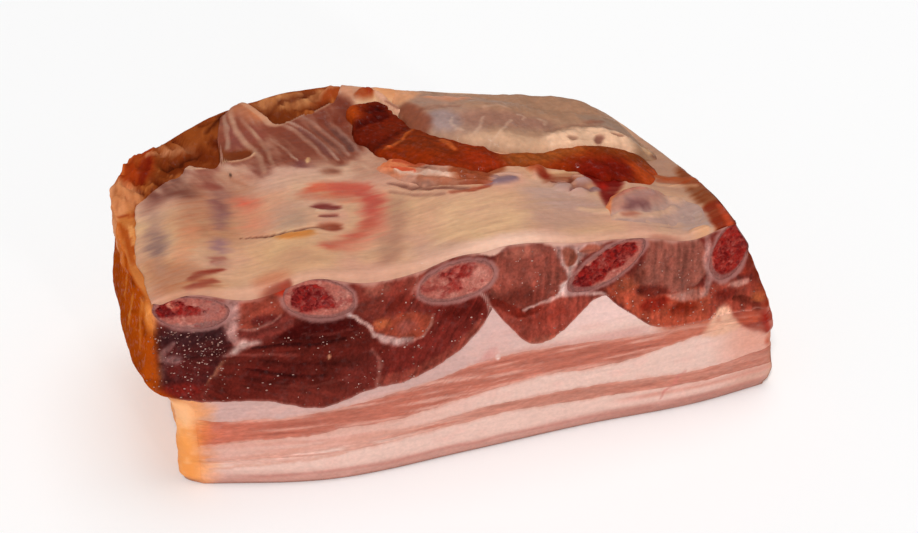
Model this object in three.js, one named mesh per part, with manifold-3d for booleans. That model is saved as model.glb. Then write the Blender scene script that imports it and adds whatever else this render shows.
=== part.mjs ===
// A piece of bone-in pork belly, lying rind down with the rib side up.
// Fat and lean run through it as layers, five rib bones run through the upper lean from the front cut,
// and the pleura on top carries the diaphragm muscle, a fat lobe and two folds.
import * as THREE from "three";
import { mergeVertices } from "three/addons/utils/BufferGeometryUtils.js";
import Module from "manifold-3d";

const wasm = await Module();
wasm.setup();

// Driving dimensions, in millimetres. X runs along the front cut, Y into the depth, Z up from the rind.
const GAP = 0.3; // clearance between neighbouring pieces
const THINNEST_LAYER = 0.9; // where a layer pinches out
const RIB_SLANT = 0.35; // sideways run of ribs and muscle lobes for each millimetre of depth
const TOP_SLANT = 0.15; // the same for the shape of the top
const CUT_STEPS = 40; // grid steps along the front cut
const DEPTH_STEPS = 6; // grid steps from front to back
const HEIGHT_ROUNDS = 12; // rounds of the search for the height of a leaning wall's point

// Outline of the top, seen from above: a straight front cut and three loosely trimmed edges
const FRONT_LEFT = [-99, 0];
const FRONT_RIGHT = [73, 0];
const BACK_LEFT = [-92, 79];
const BACK_RIGHT = [54, 69];
const LEFT_EDGE = edgeCurve(FRONT_LEFT, [-101.5, 20], [-100.5, 42], [-99, 61], BACK_LEFT);
const BACK_EDGE = edgeCurve(BACK_LEFT, [-72, 89], [-48, 95.5], [-22, 96], [6, 88], [34, 81], BACK_RIGHT);
const RIGHT_EDGE = edgeCurve(FRONT_RIGHT, [71, 20], [67.5, 40], [63, 55], BACK_RIGHT);

// How the walls lean: the fat is set back on the left and reaches further out on the right
const LEFT_SET_BACK = 10.5;
const LEFT_SET_BACK_FROM = 38;
const LEFT_SET_BACK_TO = 26;
const RIGHT_REACH = 15;
const RIGHT_REACH_HEIGHT = 60;
const RIGHT_REACH_POWER = 1.5;
const RIGHT_ROUND = 2.5; // further rounding of the bottom edge on the right
const RIGHT_ROUND_HEIGHT = 7;
const SHIFT_FADE = 3; // how quickly both fade towards the middle
const FRONT_BULGE_TOP = 3;
const RIND_EDGE_HEIGHT = 3; // rounding along the bottom edge
const RIND_EDGE_INSET = 1.5;
const FRONT_BULGE_RIND = curveThrough([0, 0], [0.25, 8.5], [0.5, 5.5], [0.7, 3.4], [0.9, 2.4], [1, 0]);
const FRONT_BULGE_HEIGHT = 45;

// Heights of the layer boundaries along the front cut
const THIN_LEAN_FLOOR = curveThrough(
  [-100, 8], [-60, 9.3], [-30, 10.3], [0, 11.8], [30, 10], [62, 9], [88, 8.5],
);
const THIN_LEAN_ROOF = curveThrough(
  [-100, 9], [-60, 10.8], [-30, 12.7], [4, 15], [30, 14.4], [62, 13], [88, 15],
);
const STREAK_FLOOR = curveThrough(
  [-100, 12.5], [-60, 13.8], [-20, 18], [14, 21.5], [34, 20.7], [60, 24.5], [88, 25],
);
const STREAK_ROOF = curveThrough(
  [-100, 24], [-60, 22.4], [-25, 26], [-4, 30], [24, 31], [50, 28.2], [88, 28.5],
);
const LEFT_LOBE = curveThrough(
  [-104, 35], [-90, 31], [-70, 28.6], [-53, 24.5], [-36, 28], [-28, 27.7], [-15, 33], [-3, 48],
);
const MIDDLE_LOBE = curveThrough([-3, 48], [2, 40], [8, 33.3], [13, 32.4], [20, 36], [31, 47]);
const RIGHT_LOBE = curveThrough([31, 47], [38, 38], [46, 31], [55, 29.4], [70, 30], [90, 30.5]);
const LEFT_CUSP = -3; // where two lobes of lean meet over a wedge of fat
const RIGHT_CUSP = 31;
const TOP = curveThrough(
  [-102, 65], [-89, 67.5], [-72, 65.3], [-54, 67.4], [-38, 65.3], [-24, 66], [-8, 68.6],
  [8, 68.8], [24, 65.5], [42, 63.5], [58, 59.5], [69, 61.5], [90, 60],
);
const BACK_RIDGE = { height: 4.5, x: -42, reach: 32, from: 68, to: 93 };
const TRIMMED_DIP = { depth: 3.5, x: -86, y: 84, reach: 24 }; // bare lean at the back left corner

// Pleura: the pale sheet on top, thin over each rib, torn away at the back left
const PLEURA_BETWEEN_RIBS = 2.7;
const PLEURA_OVER_RIB = 0.9;
const PLEURA_RIB_REACH = 9;
const TORN_HEIGHT = 120;
const TORN_AWAY = [
  [-130, 57], [-92, 59], [-84, 66], [-76, 75], [-66, 71], [-58, 74],
  [-57, 90], [-48, 97], [-48, 140], [-130, 140],
];

// Rib bones where they meet the front cut: centre, half axes of the section, tilt in degrees
const RIBS = [
  { x: -88, z: 60.5, wide: 10.6, high: 5.3, tilt: -15 },
  { x: -53, z: 59.4, wide: 10.5, high: 6.5, tilt: -20 },
  { x: -13.7, z: 58.2, wide: 11.3, high: 6.3, tilt: 8 },
  { x: 31, z: 54.6, wide: 13, high: 5.4, tilt: 28 },
  { x: 69.6, z: 51.2, wide: 9.8, high: 5.8, tilt: 78 },
];
const RIB_SINK = 0.03; // how far each rib sinks below the top for each millimetre of depth
const RIB_SIDES = 12;
const RIB_STEPS = 7;
const RIB_FROM = -16;
const RIB_TO = 116;

// What lies on the pleura: strips along a path and rounded lumps inside an outline
const SKIRT = {
  path: [[-18, 90], [-17, 77], [-13, 64], [-5, 52], [5, 42], [18, 38], [33, 39], [47, 38], [55, 30]],
  wide: 16,
  high: 6,
};
const FOLD = { path: [[-24, 55], [-18, 46], [-10, 37], [0, 30], [10, 28]], wide: 8, high: 2.6 };
const FAT_LOBE = {
  outline: [
    [-6, 87], [14, 82], [36, 76], [52, 66], [58, 53], [60, 40],
    [46, 41], [32, 42], [18, 43], [6, 50], [-2, 62], [-6, 76],
  ],
  high: 5.5,
};
const FLAP = {
  outline: [[37, 10], [41, 19], [49, 23], [59, 22], [65, 14], [62, 6], [50, 5]],
  high: 4.2,
};
const STRIP_STEPS = 16;
const STRIP_END = 0.35; // size of a strip's ends, as a share of its middle
const STRIP_FULLNESS = 0.4;
const SECTION_STEPS = 6;
const LUMP_SIDES = 22;
const LUMP_RINGS = 4;
const LUMP_CROWN = 0.4; // share of a ring's step that the flat crown takes
const LUMP_SUNK = 5; // how far a strip or lump reaches below the top before it is trimmed to it

// Finishes
const FAT = { color: 0xf0d3c4, roughness: 0.45 };
const FINISHES = {
  rind_fat: { color: 0xecccbb, roughness: 0.5 },
  thin_lean: { color: 0xc98a74, roughness: 0.45 },
  middle_fat: FAT,
  streaky_lean: { color: 0xb87060, roughness: 0.42 },
  upper_fat: FAT,
  rib_lean: { color: 0x6e2a22, roughness: 0.38 },
  pleura: { color: 0xcfa987, roughness: 0.4 },
  rib: { color: 0xa8544f, roughness: 0.5 },
  skirt: { color: 0x6b2a0e, roughness: 0.4 },
  fold: { color: 0xc79a86, roughness: 0.4 },
  fat_lobe: { color: 0xc4a68e, roughness: 0.45 },
  flap: { color: 0xbf9a8c, roughness: 0.4 },
};

// A smooth curve through [x, value] points, level beyond both ends
function curveThrough(...points) {
  const last = points.length - 1;
  const slopeBetween = (a, b) => (points[b][1] - points[a][1]) / (points[b][0] - points[a][0]);
  const slopes = points.map((_, i) => {
    if (i === 0) return slopeBetween(0, 1);
    if (i === last) return slopeBetween(last - 1, last);
    const before = points[i][0] - points[i - 1][0];
    const after = points[i + 1][0] - points[i][0];
    return (slopeBetween(i - 1, i) * after + slopeBetween(i, i + 1) * before) / (before + after);
  });
  return (x) => {
    if (x <= points[0][0]) return points[0][1];
    if (x >= points[last][0]) return points[last][1];
    const i = points.findIndex((p) => p[0] > x) - 1;
    const run = points[i + 1][0] - points[i][0];
    const t = (x - points[i][0]) / run;
    const rise = t * t * (3 - 2 * t);
    return (
      points[i][1] * (1 - rise) + points[i + 1][1] * rise +
      run * t * (1 - t) * (slopes[i] * (1 - t) - slopes[i + 1] * t)
    );
  };
}

function edgeCurve(...points) {
  return new THREE.SplineCurve(points.map((p) => new THREE.Vector2(...p)));
}

const bell = (distance, reach) => Math.exp(-((distance / reach) ** 2));
const mix = THREE.MathUtils.lerp;
const ramp = THREE.MathUtils.smoothstep;

function frontBulge(u, z) {
  const towardsRind = 1 - ramp(z, 0, FRONT_BULGE_HEIGHT);
  return mix(FRONT_BULGE_TOP * Math.sin(Math.PI * u), FRONT_BULGE_RIND(u), towardsRind);
}

// Where grid point u, v stands at height z: u runs along the cut and v into the depth, both from 0 to 1
function planPoint(u, v, z) {
  const round = RIND_EDGE_INSET * (1 - Math.sqrt(Math.min(1, z / RIND_EDGE_HEIGHT)));
  const front = new THREE.Vector2(mix(FRONT_LEFT[0], FRONT_RIGHT[0], u), -frontBulge(u, z));
  const back = BACK_EDGE.getPoint(u);
  const left = LEFT_EDGE.getPoint(v);
  const right = RIGHT_EDGE.getPoint(v);
  const across = (axis) => {
    const corners = [FRONT_LEFT, FRONT_RIGHT, BACK_LEFT, BACK_RIGHT].map((c) => c["xy".indexOf(axis)]);
    return (
      mix(front[axis], back[axis], v) + mix(left[axis], right[axis], u) -
      mix(mix(corners[0], corners[1], u), mix(corners[2], corners[3], u), v)
    );
  };
  const leftShift = LEFT_SET_BACK * (1 - ramp(z, LEFT_SET_BACK_TO, LEFT_SET_BACK_FROM)) + round;
  const rightRound = round + RIGHT_ROUND * (1 - ramp(z, 0, RIGHT_ROUND_HEIGHT));
  const towardsTop = Math.min(1, z / RIGHT_REACH_HEIGHT);
  const rightShift = RIGHT_REACH * (1 - towardsTop ** RIGHT_REACH_POWER) - rightRound;
  const shift = leftShift * (1 - u) ** SHIFT_FADE + rightShift * u ** SHIFT_FADE;
  return new THREE.Vector2(across("x") + shift, across("y") + mix(round, -round, v));
}

// Heights over the plan
function topHeight(x, y) {
  const towardsBack = ramp(y, BACK_RIDGE.from, BACK_RIDGE.to);
  const ridge = BACK_RIDGE.height * bell(x - BACK_RIDGE.x, BACK_RIDGE.reach) * towardsBack;
  const fromDip = Math.hypot(x - TRIMMED_DIP.x, y - TRIMMED_DIP.y);
  return TOP(x - TOP_SLANT * y) + ridge - TRIMMED_DIP.depth * bell(fromDip, TRIMMED_DIP.reach);
}

function pleuraThickness(x, y) {
  const overRib = Math.max(...RIBS.map((rib) => bell(x - rib.x - RIB_SLANT * y, PLEURA_RIB_REACH)));
  return mix(PLEURA_BETWEEN_RIBS, PLEURA_OVER_RIB, overRib);
}

const alongLobes = (curve) => (x, y) => curve(x - RIB_SLANT * y);
const streakRoof = alongLobes(STREAK_ROOF);
const leanFloor = alongLobes((x) => {
  if (x < LEFT_CUSP) return LEFT_LOBE(x);
  return x < RIGHT_CUSP ? MIDDLE_LOBE(x) : RIGHT_LOBE(x);
});
const HEIGHTS = {
  ground: () => 0,
  thinFloor: alongLobes(THIN_LEAN_FLOOR),
  thinRoof: alongLobes(THIN_LEAN_ROOF),
  streakFloor: alongLobes(STREAK_FLOOR),
  streakRoof,
  leanFloor: (x, y) => Math.max(leanFloor(x, y), streakRoof(x, y) + THINNEST_LAYER),
  leanRoof: (x, y) => topHeight(x, y) - pleuraThickness(x, y),
  top: topHeight,
};

// The point of a boundary above grid point u, v: the walls lean, so the height is found in rounds
function boundaryPoint(u, v, heightOf, lift) {
  let z = RIGHT_REACH_HEIGHT;
  let plan = planPoint(u, v, z);
  for (let round = 0; round < HEIGHT_ROUNDS; round++) {
    z = heightOf(plan.x, plan.y) + lift;
    plan = planPoint(u, v, z);
  }
  return new THREE.Vector3(plan.x, plan.y, z);
}

// Grid points round the edge, anticlockwise from the front left
function edgeLoop() {
  const loop = [];
  for (let i = 0; i < CUT_STEPS; i++) loop.push([i, 0]);
  for (let j = 0; j < DEPTH_STEPS; j++) loop.push([CUT_STEPS, j]);
  for (let i = CUT_STEPS; i > 0; i--) loop.push([i, DEPTH_STEPS]);
  for (let j = DEPTH_STEPS; j > 0; j--) loop.push([0, j]);
  return loop;
}

function closedGeometry(points, triangles) {
  const geometry = new THREE.BufferGeometry();
  const numbers = points.flatMap((p) => [p.x, p.y, p.z]);
  geometry.setAttribute("position", new THREE.Float32BufferAttribute(numbers, 3));
  geometry.setIndex(triangles.flat());
  return geometry;
}

// A layer that fills the outline between two boundaries, with its wall in rows that follow the lean
function layerGeometry(floorOf, roofOf, { floorLift = GAP / 2, roofLift = -GAP / 2, rows = 1 } = {}) {
  const points = [];
  const triangles = [];
  const quad = (a, b, c, d) => triangles.push([a, b, c], [a, c, d]);
  const at = (i, j) => j * (CUT_STEPS + 1) + i;
  const sheetSize = (CUT_STEPS + 1) * (DEPTH_STEPS + 1);
  const addSheet = (heightOf, lift) => {
    for (let j = 0; j <= DEPTH_STEPS; j++)
      for (let i = 0; i <= CUT_STEPS; i++)
        points.push(boundaryPoint(i / CUT_STEPS, j / DEPTH_STEPS, heightOf, lift));
  };
  addSheet(floorOf, floorLift);
  addSheet(roofOf, roofLift);
  for (let j = 0; j < DEPTH_STEPS; j++)
    for (let i = 0; i < CUT_STEPS; i++) {
      const [a, b, c, d] = [at(i, j), at(i + 1, j), at(i + 1, j + 1), at(i, j + 1)];
      quad(a + sheetSize, b + sheetSize, c + sheetSize, d + sheetSize);
      triangles.push([a, c, b], [a, d, c]); // the same diagonal as above, so that neighbours fit
    }
  const loop = edgeLoop();
  const rings = [loop.map(([i, j]) => at(i, j))];
  for (let row = 1; row < rows; row++)
    rings.push(
      loop.map(([i, j]) => {
        const z = mix(points[at(i, j)].z, points[at(i, j) + sheetSize].z, row / rows);
        const plan = planPoint(i / CUT_STEPS, j / DEPTH_STEPS, z);
        return points.push(new THREE.Vector3(plan.x, plan.y, z)) - 1;
      }),
    );
  rings.push(rings[0].map((index) => index + sheetSize));
  for (let row = 0; row < rows; row++)
    loop.forEach((_, k) => {
      const next = (k + 1) % loop.length;
      quad(rings[row][k], rings[row][next], rings[row + 1][next], rings[row + 1][k]);
    });
  return closedGeometry(points, triangles);
}

// A closed loft through rings of equally many points, with a flat cap at both ends
function loftGeometry(rings) {
  const sides = rings[0].length;
  const points = rings.flat();
  const triangles = [];
  for (let r = 0; r < rings.length - 1; r++)
    for (let k = 0; k < sides; k++) {
      const [a, b] = [r * sides + k, r * sides + ((k + 1) % sides)];
      triangles.push([a, b, b + sides], [a, b + sides, a + sides]);
    }
  const end = (rings.length - 1) * sides;
  for (let k = 1; k < sides - 1; k++) triangles.push([0, k + 1, k], [end, end + k, end + k + 1]);
  return closedGeometry(points, triangles);
}

function ribGeometry(rib, grow) {
  const tilt = THREE.MathUtils.degToRad(rib.tilt);
  const rings = [];
  for (let step = 0; step <= RIB_STEPS; step++) {
    const y = mix(RIB_FROM, RIB_TO, step / RIB_STEPS);
    const x = rib.x + RIB_SLANT * y;
    const z = rib.z + topHeight(x, y) - topHeight(rib.x, 0) - RIB_SINK * Math.max(0, y);
    const ring = [];
    for (let side = 0; side < RIB_SIDES; side++) {
      const turn = (-2 * Math.PI * side) / RIB_SIDES;
      const [wide, high] = [(rib.wide + grow) * Math.cos(turn), (rib.high + grow) * Math.sin(turn)];
      ring.push(
        new THREE.Vector3(
          x + wide * Math.cos(tilt) - high * Math.sin(tilt),
          y,
          z + wide * Math.sin(tilt) + high * Math.cos(tilt),
        ),
      );
    }
    rings.push(ring);
  }
  return loftGeometry(rings);
}

// A rounded strip that lies along a path on the top and tapers at both ends
function stripGeometry({ path, wide, high }, grow) {
  const line = edgeCurve(...path);
  const rings = [];
  for (let step = 0; step <= STRIP_STEPS; step++) {
    const share = step / STRIP_STEPS;
    const centre = line.getPoint(share);
    const along = line.getTangent(share);
    const taper = mix(STRIP_END, 1, Math.sin(Math.PI * share) ** STRIP_FULLNESS);
    const ring = [];
    for (let k = 0; k <= SECTION_STEPS; k++) {
      const turn = (Math.PI * k) / SECTION_STEPS;
      const across = (wide / 2) * taper * Math.cos(turn) + grow * Math.sign(Math.cos(turn));
      const [x, y] = [centre.x - along.y * across, centre.y + along.x * across];
      ring.push(new THREE.Vector3(x, y, topHeight(x, y) + high * taper * Math.sin(turn) + grow));
    }
    for (const corner of [ring[SECTION_STEPS], ring[0]])
      ring.push(new THREE.Vector3(corner.x, corner.y, corner.z - LUMP_SUNK));
    rings.push(ring);
  }
  return loftGeometry(rings);
}

// A rounded lump on the top, inside a closed outline
function lumpGeometry({ outline, high }) {
  const closed = edgeCurve(...outline, outline[0]);
  const rim = [...Array(LUMP_SIDES).keys()].map((k) => closed.getPoint(k / LUMP_SIDES));
  const middle = rim.reduce((sum, p) => sum.add(p), new THREE.Vector2()).divideScalar(LUMP_SIDES);
  const ringAt = (share, lift) =>
    rim.map((p) => {
      const { x, y } = new THREE.Vector2().lerpVectors(middle, p, share);
      return new THREE.Vector3(x, y, topHeight(x, y) + lift);
    });
  const rings = [ringAt(1, -LUMP_SUNK)];
  for (let ring = 0; ring <= LUMP_RINGS; ring++) {
    const share = Math.cos((Math.PI / 2) * (ring / (LUMP_RINGS + LUMP_CROWN)));
    rings.push(ringAt(share, high * Math.sqrt(1 - share ** 2)));
  }
  return loftGeometry(rings.map((ring) => (THREE.ShapeUtils.area(rim) > 0 ? ring : ring.reverse())));
}

function solidOf(geometry) {
  const merged = mergeVertices(geometry, 1e-4);
  return new wasm.Manifold(
    new wasm.Mesh({
      numProp: 3,
      vertProperties: new Float32Array(merged.attributes.position.array),
      triVerts: new Uint32Array(merged.index.array),
    }),
  );
}

// The largest body of a solid, without the slivers that a cut can leave
function mainBody(solid) {
  return solid.decompose().reduce((best, body) => (body.volume() > best.volume() ? body : best));
}

function pieceOf(solid, name, finish) {
  const { vertProperties, triVerts } = mainBody(solid).getMesh();
  const geometry = new THREE.BufferGeometry();
  geometry.setAttribute("position", new THREE.BufferAttribute(vertProperties, 3));
  geometry.setIndex(new THREE.BufferAttribute(triVerts, 1));
  geometry.computeVertexNormals();
  const material = new THREE.MeshStandardMaterial({ ...FINISHES[finish], metalness: 0 });
  const mesh = new THREE.Mesh(geometry, material);
  mesh.name = name;
  return mesh;
}

function tornAway() {
  const shape = new THREE.Shape(TORN_AWAY.map((p) => new THREE.Vector2(...p)));
  const prism = new THREE.ExtrudeGeometry(shape, { depth: TORN_HEIGHT, bevelEnabled: false });
  prism.deleteAttribute("normal");
  prism.deleteAttribute("uv");
  return solidOf(prism);
}

const slab = new THREE.Group();
const lay = (solid, name, finish = name) => slab.add(pieceOf(solid, name, finish));

// Rind and streaky layers, from the bottom up
lay(solidOf(layerGeometry(HEIGHTS.ground, HEIGHTS.thinFloor, { floorLift: 0, rows: 3 })), "rind_fat");
lay(solidOf(layerGeometry(HEIGHTS.thinFloor, HEIGHTS.thinRoof)), "thin_lean");
lay(solidOf(layerGeometry(HEIGHTS.thinRoof, HEIGHTS.streakFloor)), "middle_fat");
lay(solidOf(layerGeometry(HEIGHTS.streakFloor, HEIGHTS.streakRoof)), "streaky_lean");
lay(solidOf(layerGeometry(HEIGHTS.streakRoof, HEIGHTS.leanFloor)), "upper_fat");

// Upper lean with the ribs through it
const lean = solidOf(layerGeometry(HEIGHTS.leanFloor, HEIGHTS.leanRoof, { rows: 4 }));
let boredLean = lean;
RIBS.forEach((rib, i) => {
  boredLean = boredLean.subtract(solidOf(ribGeometry(rib, GAP)));
  lay(solidOf(ribGeometry(rib, 0)).intersect(lean), `rib_${i + 1}`, "rib");
});
lay(boredLean, "rib_lean");

// Pleura and what lies on it
lay(solidOf(layerGeometry(HEIGHTS.leanRoof, HEIGHTS.top, { roofLift: 0 })).subtract(tornAway()), "pleura");
const below = solidOf(layerGeometry(HEIGHTS.ground, HEIGHTS.top, { floorLift: 0, roofLift: GAP, rows: 4 }));
lay(solidOf(stripGeometry(SKIRT, 0)).subtract(below), "skirt");
const besideSkirt = solidOf(stripGeometry(SKIRT, GAP));
lay(solidOf(stripGeometry(FOLD, 0)).subtract(below).subtract(besideSkirt), "fold");
lay(solidOf(lumpGeometry(FAT_LOBE)).subtract(below).subtract(besideSkirt), "fat_lobe");
lay(solidOf(lumpGeometry(FLAP)).subtract(below).subtract(besideSkirt), "flap");

// The origin is under the middle of the piece
const box = new THREE.Box3().setFromObject(slab);
const middle = box.getCenter(new THREE.Vector3());
slab.position.set(-middle.x, -middle.y, -box.min.z);

const belly = new THREE.Group();
belly.add(slab);
export default belly;
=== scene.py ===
import math
import bpy
import numpy as np
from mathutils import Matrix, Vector


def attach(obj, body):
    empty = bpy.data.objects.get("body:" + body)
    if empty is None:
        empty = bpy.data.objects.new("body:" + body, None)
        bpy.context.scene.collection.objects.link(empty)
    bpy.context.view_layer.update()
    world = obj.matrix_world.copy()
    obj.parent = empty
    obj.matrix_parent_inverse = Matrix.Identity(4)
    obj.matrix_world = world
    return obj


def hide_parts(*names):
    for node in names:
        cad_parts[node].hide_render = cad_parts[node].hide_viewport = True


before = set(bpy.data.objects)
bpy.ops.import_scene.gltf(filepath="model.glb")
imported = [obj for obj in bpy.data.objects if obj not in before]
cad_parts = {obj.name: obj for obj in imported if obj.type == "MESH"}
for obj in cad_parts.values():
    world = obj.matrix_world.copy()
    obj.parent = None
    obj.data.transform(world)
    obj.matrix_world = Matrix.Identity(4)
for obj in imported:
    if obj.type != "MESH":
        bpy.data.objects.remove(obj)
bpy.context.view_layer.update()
print("belly: frame loaded,", len(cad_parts), "nodes")

# Curves and small sums. Shapes are in millimetres: x along the front cut, y into the depth, z up


def curveThrough(*points):
    xs = np.array([p[0] for p in points], float)
    ys = np.array([p[1] for p in points], float)
    runs = np.diff(xs)
    rises = np.diff(ys) / runs
    inner = (rises[:-1] * runs[1:] + rises[1:] * runs[:-1]) / (runs[:-1] + runs[1:])
    slopes = np.r_[rises[0], inner, rises[-1]]

    def curve(x):
        x = np.clip(np.asarray(x, float), xs[0], xs[-1])
        i = np.clip(np.searchsorted(xs, x, side="right") - 1, 0, len(runs) - 1)
        t = (x - xs[i]) / runs[i]
        rise = t * t * (3 - 2 * t)
        bend = runs[i] * t * (1 - t) * (slopes[i] * (1 - t) - slopes[i + 1] * t)
        return ys[i] * (1 - rise) + ys[i + 1] * rise + bend

    return curve


def edgeCurve(*points):
    pts = np.array(points, float)
    last = len(pts) - 1

    def curve(t):
        s = np.clip(np.asarray(t, float), 0, 1) * last
        i = np.clip(np.floor(s).astype(int), 0, last - 1)
        w = (s - i)[..., None]
        before, start = pts[np.maximum(i - 1, 0)], pts[i]
        end, after = pts[i + 1], pts[np.minimum(i + 2, last)]
        a = (end - before) * 0.5
        b = (after - start) * 0.5
        return (2 * start - 2 * end + a + b) * w**3 + (3 * end - 3 * start - 2 * a - b) * w**2 + a * w + start

    return curve


def ramp(x, low, high):
    t = np.clip((np.asarray(x, float) - low) / (high - low), 0, 1)
    return t * t * (3 - 2 * t)


def fade(x, low, high):
    return 1 - ramp(x, low, high)


def mix(a, b, t):
    return a + (b - a) * t


def bell(distance, reach):
    return np.exp(-((distance / reach) ** 2))


def turned(a, b, degrees):  # a place read on axes turned by an angle
    t = math.radians(degrees)
    return a * math.cos(t) + b * math.sin(t), b * math.cos(t) - a * math.sin(t)


def level(a, b=0):  # places on a level plane, as points for the noise
    return np.stack([a, b + 0 * a, 0 * a], -1)


# Seeded noise on points in millimetres, from -1 to 1


def hashed(cell, seed):
    h = cell[..., 0] * 374761393 + cell[..., 1] * 668265263 + cell[..., 2] * 1440662683 + seed * 974634777
    h = (h ^ (h >> 13)) * 1274126177
    h = (h ^ (h >> 16)) * 2246822519
    return ((h ^ (h >> 15)) & 0xFFFFFF) / 0x7FFFFF - 1


def noise(points, size, seed):
    q = points / np.asarray(size, float)
    cell = np.floor(q).astype(np.int64)
    f = q - cell
    f = f * f * (3 - 2 * f)
    total = np.zeros(points.shape[:-1])
    for corner in range(8):
        step = np.array([corner & 1, corner >> 1 & 1, corner >> 2])
        weight = np.prod(np.where(step, f, 1 - f), axis=-1)
        total += weight * hashed(cell + step, seed)
    return total


def ridged(points, size, seed):  # crests and hollows, from 0 to 1
    return 1 - np.abs(layered(points, size, seed)) * 1.6


def layered(points, size, seed, octaves=3):
    size = np.asarray(size, float)
    total = np.zeros(points.shape[:-1])
    for octave in range(octaves):
        total += noise(points, size / 2**octave, seed + octave) / 2**octave
    return total / (2 - 2 ** (1 - octaves))


def cells(points, size, seed):  # distance to the nearest and second seed point, and the nearest one's number
    q = points / np.asarray(size, float)
    cell = np.floor(q).astype(np.int64)
    nearest = np.full(len(points), 9.0)
    second = np.full(len(points), 9.0)
    number = np.zeros(len(points))
    for corner in range(27):
        near = cell + np.array([corner % 3 - 1, corner // 3 % 3 - 1, corner // 9 - 1])
        spot = near + 0.5 + 0.45 * np.stack([hashed(near, seed + k) for k in range(3)], -1)
        gap = np.linalg.norm(q - spot, axis=-1)
        closer = gap < nearest
        second = np.where(closer, nearest, np.minimum(second, gap))
        number = np.where(closer, hashed(near, seed + 9), number)
        nearest = np.where(closer, gap, nearest)
    return nearest, second, number


# Paint: soft patches, ovals and strokes with a colour and a lift in millimetres, placed one by one.
# Points are listed as one row: first place, first height, second place, second height and so on


def asMark(line, colour, strength, soft, lift, width=None):  # a mark with no width is a filled ring
    return {"line": line, "colour": colour, "strength": strength, "soft": soft, "lift": lift, "width": width}


def patch(colour, points, strength=1, soft=0.8, lift=0):
    pairs = np.reshape(points, (-1, 2))
    ring = edgeCurve(*pairs, pairs[0])(np.linspace(0, 1, 5 * len(pairs) + 1))
    return asMark(ring, colour, strength, soft, lift)


def oval(colour, x, y, wide, high, strength=1, soft=0.6, lift=0, turn=0):  # softness is a share of its radius
    a = np.linspace(0, 2 * np.pi, 25)
    p, q = turned(wide * np.cos(a), high * np.sin(a), -turn)
    return asMark(np.stack([x + p, y + q], -1), colour, strength, soft * min(wide, high), lift)


def stroke(colour, points, width=0.8, strength=1, soft=0.5, lift=0):
    pairs = np.reshape(points, (-1, 2))
    line = edgeCurve(*pairs)(np.linspace(0, 1, 5 * (len(pairs) - 1) + 1))
    return asMark(line, colour, strength, soft, lift, width)


def distanceTo(place, line):
    best = np.full(len(place), 1e9)
    share = np.zeros(len(place))
    for i in range(len(line) - 1):
        run = line[i + 1] - line[i]
        t = np.clip((place - line[i]) @ run / (run @ run + 1e-12), 0, 1)
        gap = np.linalg.norm(place - line[i] - t[:, None] * run, axis=1)
        share = np.where(gap < best, (i + t) / (len(line) - 1), share)
        best = np.minimum(gap, best)
    return best, share


def insideOf(place, ring):
    inside = np.zeros(len(place), bool)
    for a, b in zip(ring[:-1], ring[1:]):
        crosses = (a[1] > place[:, 1]) != (b[1] > place[:, 1])
        rise = b[1] - a[1] if b[1] != a[1] else 1e-9
        inside ^= crosses & (place[:, 0] < a[0] + (place[:, 1] - a[1]) / rise * (b[0] - a[0]))
    return inside


def maskOf(mark, place):
    mask = np.zeros(len(place))
    line, soft, width = mark["line"], mark["soft"], mark["width"]
    reach = soft + (width or 0)
    near = ((place > line.min(0) - reach) & (place < line.max(0) + reach)).all(1)
    if not near.any():
        return mask
    gap, share = distanceTo(place[near], line)
    if width is None:
        gap = np.where(insideOf(place[near], line), gap, -gap)
        mask[near] = ramp(gap, -soft, soft)
    else:
        half = width / 2 * (0.3 + 0.7 * np.sqrt(np.sin(np.pi * share)))  # thinner towards its ends
        mask[near] = fade(gap, half, half + soft)
    return mask * mark["strength"]


def paint(colours, lift, place, marks, grit=0.0):
    for mark in marks:
        mask = maskOf(mark, place)
        mask = np.clip(mask * (1 + grit * (1 - 0.6 * mask)), 0, 1)  # broken up most at its edges
        if mark["colour"] is not None:
            colours += (np.array(mark["colour"], float) - colours) * mask[:, None]
        lift += mask * mark["lift"]


def ragged(points, amount, seed, size=2.5):
    return amount * np.stack([layered(points, size, seed), layered(points, size, seed + 40)], -1)


def tint(colours, colour, mask):
    colours += (np.array(colour, float) - colours) * np.clip(mask, 0, 1)[:, None]


def plain(colour, count):
    return np.tile(np.array(colour, float), (count, 1))


# The slab: its plan at every height, and the heights of its layers

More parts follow.
